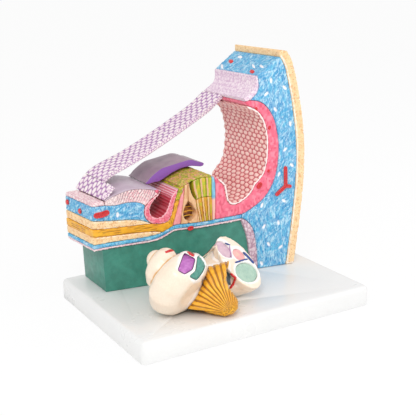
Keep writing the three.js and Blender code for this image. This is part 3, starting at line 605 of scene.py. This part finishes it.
# Patterns of the slice's pieces. Heights are in millimetres, and grooves go inwards


def cell_marks(border, tone, depth, width):
    """Domes of their own tones, with grooves between them."""
    groove = 1.0 - smoothstep(0.02, width, border)
    dome = smoothstep(0.0, 0.7, border)
    return {"height": -depth * (1.0 - dome), "groove": groove, "tone": tone}


def skin_pattern(pitch, depth):
    """Uneven cells over a thin skin."""
    def pattern(surface):
        axes = surface.grid(pitch, pitch, pitch)
        border, tone = cells(axes, jitter=0.8, seed=3)
        return cell_marks(border, tone, depth, width=0.22)
    return pattern


# Slope of the roof membrane, and the pitches of its scales on the face and along the cut edge
ROOF_SLOPE = math.radians(26.5)
FACE_SCALE = (7.4, 5.2)
EDGE_SCALE = (3.4, 2.1)


def scale_pattern(surface):
    """Scales over the sloping membrane, small ones along its cut edge."""
    along = surface.x * math.cos(ROOF_SLOPE) + surface.z * math.sin(ROOF_SLOPE)
    across = surface.z * math.cos(ROOF_SLOPE) - surface.x * math.sin(ROOF_SLOPE)
    along = along + 1.2 * soft_noise((surface.x / 9, surface.depth / 9), 5)
    broad = cells((along / FACE_SCALE[0], surface.depth / FACE_SCALE[1]), jitter=0.3, seed=11, brick=True)
    small = cells((along / EDGE_SCALE[0], across / EDGE_SCALE[1]), jitter=0.5, seed=12, brick=True)
    edge = np.abs(surface.normals[:, 1]) > 0.6
    border = np.where(edge, small[0], broad[0])
    tone = np.where(edge, small[1], broad[1])
    return cell_marks(border, tone, np.where(edge, 0.4, 0.8), width=np.where(edge, 0.34, 0.46))


# Middle of the duct in the section, and the pitches of its cells inwards and round the wall
DUCT_MIDDLE = (150, 122)
LINING_CELL = (8.4, 4.4)


def lining_pattern(surface):
    """Rounded cells over the inside of the duct."""
    way = surface.round_way(DUCT_MIDDLE)
    axes = (surface.depth / LINING_CELL[0], way / LINING_CELL[1])
    border, tone = cells(axes, jitter=0.25, seed=21, brick=True)
    marks = cell_marks(border, tone, 1.0, width=0.4)
    marks["groove"] = np.where(surface.front, 0.0, marks["groove"])
    marks["height"] = np.where(surface.front, 0.0, marks["height"])
    marks["accent"] = surface.front.astype(float)
    return marks


# White hollows in the tissue: x and height of each, and half the width and height of one
LIMBUS_LACUNAE = ((24.5, 77.5),)
LACUNAE = (
    (185, 195.5), (200, 187.5), (180, 182.5), (190, 166.5), (207, 150.5), (201.5, 124.5), (209.5, 107.5),
    (195, 99.5), (176, 68.5), (201, 70.5), (178.5, 45.5), (195, 47.5), (184, 25.5), (198, 20.5), (176, 5.5),
)
LACUNA_HALF = (1.5, 3.0)


def blue_pattern(lean, size, lacunae):
    """Tufts of brush strokes, with white hollows."""
    def pattern(surface):
        flat = np.abs(surface.normals[:, 1]) > 0.5
        across = np.where(flat, surface.x, surface.depth)
        up = np.where(np.abs(surface.normals[:, 2]) > 0.7, surface.x, surface.z)
        strokes = tufts(across, up, size, 4.5, 0.8, lean, seed=31)
        pale = tufts(across + 40, up + 40, size, 4.0, 0.9, lean, seed=37)
        hollow = np.zeros_like(strokes)
        for i, (x, z) in enumerate(lacunae):
            turn = 0.9 * math.sin(i * 2.3)
            dx = (surface.x - x) * math.cos(turn) + (surface.z - z) * math.sin(turn)
            dz = (surface.z - z) * math.cos(turn) - (surface.x - x) * math.sin(turn)
            distance = np.hypot(dx / LACUNA_HALF[0], dz / LACUNA_HALF[1])
            hollow = np.maximum(hollow, 1.0 - smoothstep(0.7, 1.1, distance))
        hollow = hollow * surface.front
        height = -0.4 * strokes - 0.8 * hollow
        return {"height": height, "stroke": strokes * 0.6, "tone": pale, "accent": hollow}
    return pattern


def layer_blue(surface):
    """Strokes that run along a thin layer."""
    strokes = soft_noise(surface.grid(5, 5, 1.1), 41)
    pale = soft_noise(surface.grid(6, 6, 1.4), 42)
    marks = smoothstep(0.5, 0.75, strokes)
    return {"height": -0.3 * marks, "stroke": marks * 0.6, "tone": smoothstep(0.5, 0.8, pale)}


def bone_pattern(pale_line, pitch=1.6):
    """Slightly pitted bone with a pale line along its neighbour."""
    def pattern(surface):
        axes = surface.grid(pitch, pitch, pitch)
        pits = smoothstep(0.62, 0.8, soft_noise(axes, 51))
        line = surface.off(~surface.open, pale_line)
        return {"height": -0.6 * pits, "groove": pits * 0.55, "accent": line * surface.front}
    return pattern


# Distance between the nerve sheet's fibres, the x between which they turn upwards and the height there
FIBRE_PITCH = 1.9
FIBRE_TURN = (70, 77)
TURN_HEIGHT = 62


def nerve_pattern(surface):
    """Fibres along the sheet that turn upwards at its right end."""
    turn = smoothstep(*FIBRE_TURN, surface.x + 0.2 * (surface.z - TURN_HEIGHT))
    wander = 1.6 * soft_noise(surface.grid(14, 14, 14), 61)
    level = surface.z + 0.03 * surface.x
    flat = ridges(level + wander, FIBRE_PITCH)
    steep = ridges(surface.x - 0.2 * surface.z + wander, FIBRE_PITCH)
    broken = soft_noise(surface.grid(6, 6, 3), 62)
    fibres = (flat * (1 - turn) + steep * turn) * smoothstep(0.2, 0.6, broken)
    groove = smoothstep(0.6, 0.95, fibres)
    return {"height": -0.5 * groove, "groove": groove * 0.85}


# Distance between the teeth, the x and the heights over which they grow clear, and the x over which the
# seams between cells fade out
TOOTH_PITCH = 2.7
TEETH_START = (14, 30)
TEETH_FOOT = (84, 92)
SEAMS_END = (24, 38)


def teeth_pattern(surface):
    """Upright ridges under the cover, fainter to the left."""
    wander = 3.0 * soft_noise(surface.grid(5, 5, 7), 72)
    lean = surface.x - 0.5 * (surface.z - 85) + wander
    ridge = ridges(lean, TOOTH_PITCH)
    gap = smoothstep(0.62, 0.95, ridge) * smoothstep(*TEETH_START, surface.x)
    gap = gap * smoothstep(*TEETH_FOOT, surface.z)
    border, tone = cells(surface.grid(2.6, 2.6, 3.4), jitter=0.9, seed=71)
    seams = 1 - smoothstep(0.02, 0.28, border)
    left = 1 - smoothstep(*SEAMS_END, surface.x)
    return {
        "height": -0.9 * gap - 0.35 * seams,
        "groove": np.maximum(gap, 0.55 * seams * left),
        "stroke": seams * (1 - left) * 0.8,
        "tone": tone,
    }


# Middle of the sulcus in the section, the distance between its ribs, and where its pale right lip begins
SULCUS_MIDDLE = (67, 81)
RIB_PITCH = 3.3
LIP_X = (72, 76)
LIP_HEIGHT = (86, 92)


def sulcus_pattern(surface):
    """Pink rim with a pale inner line, and a dark ribbed hollow."""
    way = surface.round_way(SULCUS_MIDDLE)
    inside = surface.open & ~surface.front
    ribs = ridges(way, RIB_PITCH, 1.8 * soft_noise((surface.depth / 14, way / 9), 81))
    lip = smoothstep(*LIP_HEIGHT, surface.z) * smoothstep(*LIP_X, surface.x)
    border, tone = cells((surface.x / 3.6, surface.z / 3.6), jitter=0.8, seed=82)
    rim = surface.off(inside, 1.1) * surface.front
    groove = np.where(surface.front, 0.75 * (1 - smoothstep(0.02, 0.2, border)), 0.35 * ribs)
    stroke = np.where(surface.front, 0.0, (1 - lip) * (0.62 + 0.38 * ribs))
    accent = np.where(surface.front, rim, lip * (1 - ribs))
    height = np.where(surface.front, -0.4 * (1 - smoothstep(0.0, 0.5, border)), -1.1 * ribs)
    groove = groove * (1 - rim)
    return {"height": height, "groove": groove, "stroke": stroke, "accent": accent, "tone": tone}


def mottled_pattern(size=2.2, depth=0.5):
    """Small blobs of mixed colours."""
    def pattern(surface):
        axes = surface.grid(size, size, size)
        border, tone = cells(axes, jitter=0.9, seed=91)
        blot = soft_noise([axis * 0.9 for axis in axes], 92)
        return {
            "height": -depth * (1 - smoothstep(0, 0.6, border)),
            "groove": 0.55 * (1 - smoothstep(0.0, 0.2, border)),
            "tone": smoothstep(0.45, 0.7, tone),
            "stroke": smoothstep(0.5, 0.7, blot),
            "accent": smoothstep(0.72, 0.85, blot) * 0.8,
        }
    return pattern


# Shares of a column's width where its pale strand ends and its dark line runs, and the heights over
# which that line fades out
STRAND_END = (0.2, 0.34)
DARK_LINE = 0.42
DARK_TOP = (60, 92)


def column_pattern(surface):
    """A pale strand and a dark line beside each column of cells."""
    share = surface.share_across()
    strand = (1 - smoothstep(*STRAND_END, share)) * surface.front
    dark = (1 - smoothstep(0.05, 0.14, np.abs(share - DARK_LINE))) * surface.front
    dark = dark * (1 - smoothstep(*DARK_TOP, surface.z))
    streak = soft_noise(surface.grid(1.0, 7, 6), 101)
    blot = soft_noise(surface.grid(2, 3, 3), 102)
    return {
        "height": 0.15 * strand - 0.6 * dark - 0.3 * smoothstep(0.5, 0.7, streak),
        "accent": strand,
        "groove": dark,
        "stroke": smoothstep(0.5, 0.7, streak) * 0.7,
        "tone": smoothstep(0.4, 0.7, blot),
    }


def streak_pattern(surface):
    """Fine upright streaks."""
    streak = soft_noise(surface.grid(1.1, 8, 8), 111)
    mark = smoothstep(0.5, 0.75, streak)
    return {"height": -0.3 * mark, "stroke": mark * 0.7, "groove": smoothstep(0.75, 0.9, streak) * 0.5}


# Heights between which the border cells turn from pale pink to blue
BORDER_CHANGE = (80, 84)


def border_pattern(surface):
    """Blue above, pale pink below."""
    marks = streak_pattern(surface)
    marks["accent"] = 1 - smoothstep(*BORDER_CHANGE, surface.z)
    return marks


def cave_pattern(surface):
    """Level ridges across the back of a cave."""
    ridge = soft_noise(surface.grid(6, 4, 1.5), 121)
    height = -0.6 * smoothstep(0.4, 0.7, ridge)
    return {"height": height, "stroke": smoothstep(0.5, 0.7, ridge), "groove": smoothstep(0.5, 0.2, ridge)}


def wall_pattern(surface):
    """Fine dotted strokes over the thick pink wall."""
    streak = soft_noise(surface.grid(1.3, 2.0, 2.4), 131)
    mark = smoothstep(0.55, 0.75, streak)
    tone = soft_noise(surface.grid(2.4, 2.4, 3.0), 132)
    return {"height": -0.22 * mark, "stroke": mark * 0.8, "tone": smoothstep(0.5, 0.75, tone)}


def vessel_pattern(surface):
    """Dark hollow in the middle of a cut vessel."""
    rim = surface.off(surface.open & ~surface.front & (surface.normals[:, 1] < 0.3), 1.3)
    hollow = (1 - rim) * surface.front
    return {"height": -0.5 * hollow, "accent": hollow}


def dress_slice():
    rounded("canal_block", "green", radius=1.5)
    carved("canal_roof_lining", "skin", skin_pattern(2.8, 0.4), voxel=0.8, softening=2)
    carved("canal_wall_lining", "wall_skin", skin_pattern(4.2, 0.8))
    carved("basilar_membrane", "blue", layer_blue)
    carved("lower_bone_shelf", "bone", bone_pattern(0.9))
    carved("nerve_fibre_sheet", "nerve", nerve_pattern, voxel=0.7, softening=2)
    carved("upper_bone_shelf", "bone", bone_pattern(0.9))
    carved("limbus_tissue", "blue", blue_pattern(0.6, 9, LIMBUS_LACUNAE), voxel=0.75)
    carved("limbus_skin", "skin", skin_pattern(3.8, 0.9), voxel=0.75, softening=2)
    carved("limbus_teeth", "teeth", teeth_pattern, voxel=0.7, softening=2)
    rounded("limbus_cover", "lilac", radius=0.4)
    carved("inner_sulcus", "sulcus", sulcus_pattern, voxel=0.7, softening=2)
    carved("membrane_root", "root", skin_pattern(3.6, 0.6), voxel=0.8)
    carved("spiral_ligament", "blue", blue_pattern(1.2, 13, LACUNAE), softening=2)
    carved("outer_bone", "bone", bone_pattern(2.0), voxel=1.0)
    carved("duct_wall", "pink", wall_pattern)
    carved("duct_lining", "cells", lining_pattern, voxel=0.75, softening=2)
    carved("roof_membrane", "scales", scale_pattern, voxel=0.7, softening=2)
    carved("roof_membrane_foot", "scales", scale_pattern, voxel=0.6, softening=2)
    rounded("tectorial_membrane", "violet", radius=1.0, segments=4, marks=lambda normals: {
        "accent": smoothstep(0.6, 0.85, -normals[:, 1]),
    })


def dress_organ():
    carved("inner_hair_cells", "hair", mottled_pattern(), voxel=0.6, softening=2)
    carved("top_plate", "organ_top", mottled_pattern(), voxel=0.6, softening=1)
    carved("inner_support_cells", "support_pink", streak_pattern, voxel=0.8)
    carved("inner_pillar", "pillar", streak_pattern, voxel=0.7)
    carved("outer_pillar", "pillar", streak_pattern, voxel=0.7)
    carved("tunnel_core", "cave", cave_pattern, voxel=0.7, softening=1)
    carved("slot_core", "slot", cave_pattern, voxel=0.6, softening=1)
    carved("border_cells", "border", border_pattern, voxel=0.7)
    for column in ("1", "2", "3"):
        carved("outer_hair_cells_" + column, "hair", column_pattern, voxel=0.6, softening=2)
        carved("support_cells_" + column, "deiters", column_pattern, voxel=0.6, softening=2)


def dress_vessels():
    names = ["ligament_vessel", "limbus_vessel", "spiral_vessel"]
    names += ["duct_vessel_1", "duct_vessel_2", "duct_vessel_3", "side_vessel_1", "side_vessel_2"]
    for name in names:
        carved(name, "red", vessel_pattern, voxel=0.4, softening=4)


# Small cochlea


def photo_columns(points):
    """Column of the photograph in which each point is seen."""
    way = points - np.array(CAMERA)
    return PHOTO / 2 + FOCAL * (way @ np.array(RIGHT)) / (way @ np.array(FORWARD))


# Rounds of smoothing that show the shell's creases, width and lowest place of the white rims in
# millimetres, and the columns of the photograph between which the painted crease shade fades out to the
# right
CREASE_ROUNDS = 4
RIM_WIDTH = 4.2
RIM_BOTTOM = 6
CREASE_SHADE_END = (182, 178)


def shell_pattern(surface):
    """Painted shade in the creases between the coil's turns, and white rims round what the shell holds."""
    edges = np.zeros(len(surface.mesh.edges) * 2, int)
    surface.mesh.edges.foreach_get("vertices", edges)
    first, second = edges.reshape(-1, 2).T
    smooth = surface.points.copy()
    for _ in range(CREASE_ROUNDS):
        sums = np.zeros_like(smooth)
        ways = np.zeros(len(smooth))
        for a, b in ((first, second), (second, first)):
            np.add.at(sums, a, smooth[b])
            np.add.at(ways, a, 1)
        smooth = sums / ways[:, None]
    rise = ((smooth - surface.points) * surface.normals).sum(1) / MM
    rim = surface.off(~surface.open, RIM_WIDTH) * (surface.z > RIM_BOTTOM)
    # Tan in the concave creases between the turns is painted shade
    crease_shade = smoothstep(0.03, 0.14, rise) * (1 - rim) * smoothstep(*CREASE_SHADE_END, photo_columns(surface.points))
    return {"groove": crease_shade, "accent": rim}


# Pixel where the nerve's fibres meet, its height over the plate, and the fibres' waves per radian
FAN_FOCUS = (232, 312)
FAN_HEIGHT = 4 * MM
FAN_WAVES = 44


def fan_pattern(surface):
    """Fibres of the nerve that spread from its lower right end."""
    ray = sight(FAN_FOCUS)
    focus = np.array(CAMERA + ray * ((PLATE_TOP + FAN_HEIGHT - CAMERA.z) / ray.z))
    way = surface.points - focus
    angle = np.arctan2(way @ np.array(UP), way @ np.array(RIGHT))
    reach = np.linalg.norm(way, axis=1) / MM
    wave = angle * FAN_WAVES + 2.4 * soft_noise((reach / 9, angle * 7), 141)
    ridge = 0.5 + 0.5 * np.cos(wave)
    groove = smoothstep(0.55, 0.95, ridge)
    return {"height": -1.1 * groove * smoothstep(3, 12, reach), "groove": groove * 0.85}


def dress_cochlea():
    carved("cochlea_shell", "shell", shell_pattern, softening=8)
    carved("cochlear_nerve", "nerve", fan_pattern, voxel=0.6)
    looks = {
        "window_vestibular": "window_violet",
        "window_tympanic": "window_green",
        "window_duct": "red",
        "chamber_vestibular": "chamber_lilac",
        "chamber_duct": "chamber_pink",
        "chamber_tympanic": "chamber_green",
    }
    for node, look in looks.items():
        carved(node, look, mottled_pattern(2.6, 0.35), voxel=0.5)


# Small painted areas and cords, placed along the photograph's lines of sight

# Distance from the camera to the small cochlea, where a ray that meets nothing ends
COCHLEA_DISTANCE = 0.75

# Outlines and routes of the marks on the small cochlea, in pixels
STUMP_RIM = ((212.4, 246), (216.6, 242.6), (217.8, 250), (218.6, 260), (215, 258), (212.6, 252))
COIL_STRIP = ((164.8, 251.6), (170, 249.2), (175.9, 248.6), (175.6, 250.8), (170.5, 251.8), (166, 253.4))
COIL_MARK = ((176.4, 251.2), (179.8, 251.8), (180.2, 253.6), (177.2, 253.6))
GREY_WINDOW = ((226.6, 272), (230.2, 273.6), (230.8, 284.6), (227.4, 285.4))
GREY_WINDOW_EDGE = ((230.6, 273.4), (235.6, 277.6), (233.4, 283.6), (229.8, 288.4))
WINDOW_TOP = ((186.6, 251.8), (190, 250.8), (194.8, 254.2), (194.2, 256.8), (190.4, 256))
DIVIDER_INNER = ((229.6, 245.6), (230.4, 252), (231.6, 258))
DIVIDER_LOWER = ((235, 262.7), (240.8, 261), (247.4, 259.2))
DIVIDER_UPPER = ((243.1, 252.2), (248.8, 258.2), (253.6, 263.6))
DIVIDER_TOP = ((225, 242.9), (230, 245.1))

# Middles of the marks on the slice, in pixels
TOP_VESSELS = ((230.8, 61.2), (252, 71.6))
TOP_HOLLOWS = ((240, 57), (261.6, 66.5), (253.5, 66.3), (222, 66.5))
DUCT_VESSEL_TOP = (256.2, 108.9)
SULCUS_LIP = (157.4, 191.4)


def tree_of(*nodes):
    """Search tree of the finished pieces that replace some nodes."""
    return search_tree(bpy.data.objects[node + "_cast"].data for node in nodes)


def seen(tree, pixel):
    """Point and outward direction of the surface behind a pixel."""
    ray = sight(pixel)
    point, normal, _, _ = tree.ray_cast(CAMERA, ray)
    if point is None:
        point, normal, _, _ = tree.find_nearest(CAMERA + ray * COCHLEA_DISTANCE)
    return point, (normal if normal.dot(ray) < 0 else -normal)


def mesh_of(name, corners, faces):
    mesh = bpy.data.meshes.new(name)
    mesh.from_pydata(corners, [], faces)
    mesh.shade_smooth()
    return mesh


def between(start, end, steps):
    """Pixels at equal steps from one pixel to another, which is the last of them."""
    pixels = []
    for step in range(1, steps + 1):
        share = step / steps
        pixels.append((start[0] + (end[0] - start[0]) * share, start[1] + (end[1] - start[1]) * share))
    return pixels


# A cushion's lowest lift over its surface and its depth under it, in millimetres
CUSHION_LIFT = 0.1
CUSHION_DEPTH = 0.5


def patch(name, tree, outline, look, slot, height=0.5, rings=3, steps=4):
    """Low cushion on a surface; its outline is given in pixels."""
    edge = []
    for i, end in enumerate(outline):
        edge.extend(between(outline[i - 1], end, steps))
    middle = (sum(x for x, _ in edge) / len(edge), sum(y for _, y in edge) / len(edge))
    pixels = [middle]
    lifts = [height]
    for ring in range(1, rings + 1):
        size = ring / rings
        for x, y in edge:
            pixels.append((middle[0] + (x - middle[0]) * size, middle[1] + (y - middle[1]) * size))
        lifts.extend([height * (1 - size ** 3) + CUSHION_LIFT] * len(edge))
    spots = [seen(tree, pixel) for pixel in pixels]
    top = [point + normal * (lift * MM) for (point, normal), lift in zip(spots, lifts)]
    under = [point - normal * (CUSHION_DEPTH * MM) for point, normal in spots]
    count = len(edge)
    faces = [(0, 1 + i, 1 + (i + 1) % count) for i in range(count)]
    for ring in range(rings - 1):
        low = 1 + ring * count
        for i in range(count):
            j = (i + 1) % count
            faces.append((low + i, low + count + i, low + count + j, low + j))
    total = len(top)
    outer = 1 + (rings - 1) * count
    closed = faces + [tuple(total + corner for corner in reversed(face)) for face in faces]
    for i in range(count):
        j = (i + 1) % count
        closed.append((outer + i, total + outer + i, total + outer + j, outer + j))
    piece(name, mesh_of(name, top + under, closed), look, slot)


def spot(name, tree, centre, radii, look, slot, height, lean=0.0, corners=10):
    """Round cushion at a pixel."""
    outline = []
    for i in range(corners):
        angle = i / corners * math.tau
        x = radii[0] * math.cos(angle)
        y = radii[1] * math.sin(angle)
        across = centre[0] + x * math.cos(lean) - y * math.sin(lean)
        down = centre[1] + x * math.sin(lean) + y * math.cos(lean)
        outline.append((across, down))
    patch(name, tree, outline, look, slot, height=height, steps=1)


# Direction that the cords here never run in, and the share of its radius that a cord's end has
ASIDE = Vector((0.3, 1.0, 0.2))
END_SHARE = 0.55


def tube(name, points, radius, look, slot, sides=8):
    """Round cord through a row of points."""
    corners = []
    for i, point in enumerate(points):
        way = (points[min(i + 1, len(points) - 1)] - points[max(i - 1, 0)]).normalized()
        side = way.cross(ASIDE).normalized()
        up = way.cross(side)
        thin = END_SHARE if i in (0, len(points) - 1) else 1.0
        for corner in range(sides):
            angle = corner / sides * math.tau
            corners.append(point + (side * math.cos(angle) + up * math.sin(angle)) * (radius * thin * MM))
    faces = [tuple(reversed(range(sides))), tuple(range(len(corners) - sides, len(corners)))]
    for low in range(0, len(corners) - sides, sides):
        for corner in range(sides):
            after = (corner + 1) % sides
            faces.append((low + corner, low + after, low + sides + after, low + sides + corner))
    piece(name, mesh_of(name, corners, faces), look, slot)


def cord(name, tree, path, radius, look, slot, steps=4):
    """Round cord that lies on a surface along a line of pixels."""
    pixels = [path[0]]
    for start, end in zip(path, path[1:]):
        pixels.extend(between(start, end, steps))
    points = []
    for pixel in pixels:
        point, normal = seen(tree, pixel)
        points.append(point + normal * (0.3 * radius * MM))
    tube(name, points, radius, look, slot)


def add_cochlea_marks():
    """Painted areas of the shell, and the dividers between the chambers of its sawn end."""
    chambers = ["chamber_vestibular", "chamber_duct", "chamber_tympanic"]
    tree = tree_of("cochlea_shell", "cochlear_nerve", *chambers)
    patch("stump_rim", tree, STUMP_RIM, "shell", "shell_cream", height=0.4)
    patch("coil_strip", tree, COIL_STRIP, "red", "vessel_red", height=0.6)
    patch("coil_mark", tree, COIL_MARK, "grey", "recess_dark")
    patch("grey_window", tree, GREY_WINDOW, "grey", "recess_dark")
    cord("grey_window_edge", tree, GREY_WINDOW_EDGE, 1.2, "red", "vessel_red")
    top_tree = tree_of("cochlea_shell", "window_duct")
    patch("window_top", top_tree, WINDOW_TOP, "red", "vessel_red", height=0.6)
    cord("divider_inner", tree, DIVIDER_INNER, 0.5, "violet_line", "tectorial_violet")
    cord("divider_lower", tree, DIVIDER_LOWER, 0.9, "divider_blue", "tissue_blue")
    cord("divider_upper", tree, DIVIDER_UPPER, 1.2, "divider_blue", "tissue_blue")
    cord("divider_top", tree, DIVIDER_TOP, 0.9, "divider_blue", "tissue_blue", steps=2)


def add_slice_marks():
    """Marks on the ligament's slanted top, a vessel in the duct's wall and the sulcus' upper lip."""
    tree = tree_of("spiral_ligament", "membrane_root", "outer_bone")
    for i, centre in enumerate(TOP_VESSELS):
        spot(f"top_vessel_{i + 1}", tree, centre, (2.6, 2.0), "red", "vessel_red", height=1.2)
    for i, centre in enumerate(TOP_HOLLOWS):
        name = f"top_hollow_{i + 1}"
        spot(name, tree, centre, (2.4, 1.3), "white", "tissue_blue", height=0.3, lean=0.5 * i)
    wall_tree = tree_of("duct_wall")
    spot("duct_vessel_top", wall_tree, DUCT_VESSEL_TOP, (1.5, 1.9), "red", "vessel_red", height=0.6)
    lip_tree = tree_of("limbus_teeth", "inner_sulcus", "limbus_cover")
    spot("sulcus_lip", lip_tree, SULCUS_LIP, (3.0, 1.9), "sulcus", "duct_pink", height=1.2, lean=0.5)


# Start, turning point and end of each fibre across the tunnel: x and height in the slice's frame
FIBRES = (
    ((91.6, 66.5), (96, 68.5), (104, 66)),
    ((91, 70), (96.5, 73), (104.6, 70)),
    ((92, 74.5), (97, 77), (102.6, 74.5)),
)
# The fibres' radius, the first one's depth behind the pillars' front, and the points along each
FIBRE_RADIUS = 0.45
FIBRE_DEPTH = 3.4
FIBRE_STEPS = 8


def add_tunnel_fibres():
    """Thin nerve fibres that cross the tunnel between the pillars."""
    front = (SLICE_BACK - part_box("inner_pillar")[0].y) / MM
    for i, (first, middle, last) in enumerate(FIBRES):
        y = SLICE_BACK - (front - FIBRE_DEPTH - i) * MM
        row = []
        for step in range(FIBRE_STEPS + 1):
            share = step / FIBRE_STEPS
            x, z = [
                (1 - share) ** 2 * a + 2 * share * (1 - share) * b + share ** 2 * c
                for a, b, c in zip(first, middle, last)
            ]
            row.append(Vector((SLICE_LEFT + x * MM, y, PLATE_TOP + z * MM)))
        tube(f"tunnel_fibre_{i + 1}", row, FIBRE_RADIUS, "nerve", "nerve_yellow", sides=6)


# Base plate


def dress_base():
    rounded("base_plate", "plate", radius=0.4, segments=2)
    for number in ("1", "2", "3", "4"):
        rounded("foot_" + number, "rubber", radius=0.3, segments=2)
        rounded("screw_" + number, "steel", radius=0.2, segments=2)


# Studio

# Point that both lamps are turned to
LIT_POINT = Vector((0.0, 0.0, 0.1))


def add_light(name, place, size, power):
    data = bpy.data.lights.new(name, "AREA")
    data.shape = "DISK"
    data.size = size
    data.energy = power
    light = link(bpy.data.objects.new(name, data))
    light.location = place
    light.rotation_mode = "QUATERNION"
    light.rotation_quaternion = (LIT_POINT - Vector(place)).to_track_quat("-Z", "Y")


WHITE = (1, 1, 1, 1)


def either_ray(shader, *kinds):
    """1 for rays of the named kinds, and 0 for all others."""
    path = shader.add("LightPath").outputs
    share = path[kinds[0]]
    for kind in kinds[1:]:
        share = shader.add("Math", {0: share, 1: path[kind]}, operation="MAXIMUM").outputs[0]
    return share


# The floor's side in metres, and how much of what is seen of it is plain white
FLOOR_SIDE = 36.0
FLOOR_GLOW = 0.88


def add_floor():
    mesh = bpy.data.meshes.new("floor")
    half = FLOOR_SIDE / 2
    corners = [(-half, -half, 0), (half, -half, 0), (half, half, 0), (-half, half, 0)]
    mesh.from_pydata(corners, [], [(0, 1, 2, 3)])
    shader = Shader(bpy.data.materials.new("floor_white"))
    matte = shader.add("BsdfDiffuse", {"Color": linear((246, 246, 246))}).outputs[0]
    glow = shader.add("Emission", {"Color": WHITE, "Strength": 1.0}).outputs[0]
    seen_plainly = either_ray(shader, "Is Camera Ray", "Is Glossy Ray", "Is Transmission Ray")
    share = shader.times(seen_plainly, FLOOR_GLOW)
    both = shader.add("MixShader", {0: share, 1: matte, 2: glow}).outputs[0]
    shader.add("OutputMaterial", {"Surface": both})
    mesh.materials.append(shader.owner)
    floor = link(bpy.data.objects.new("floor", mesh))


# Strength of the white surroundings as a light
SKY_LEVEL = 0.8


def add_world():
    """White all round: at full strength where it is seen, softer as a light."""
    world = bpy.data.worlds.new("studio")
    bpy.context.scene.world = world
    shader = Shader(world)
    seen_plainly = either_ray(shader, "Is Camera Ray", "Is Transmission Ray")
    soft = shader.add("Background", {"Color": WHITE, "Strength": SKY_LEVEL}).outputs[0]
    full = shader.add("Background", {"Color": WHITE, "Strength": 1.0}).outputs[0]
    both = shader.add("MixShader", {0: seen_plainly, 1: soft, 2: full}).outputs[0]
    shader.add("OutputWorld", {"Surface": both})


add_camera()
dress_base()
dress_slice()
dress_organ()
dress_vessels()
dress_cochlea()
add_cochlea_marks()
add_slice_marks()
add_tunnel_fibres()
add_floor()
add_world()
add_light("key", place=(-0.75, -0.95, 1.15), size=0.7, power=10.0)
add_light("fill", place=(0.95, -0.75, 0.7), size=0.9, power=3.5)
bpy.context.scene.view_settings.view_transform = "Standard"
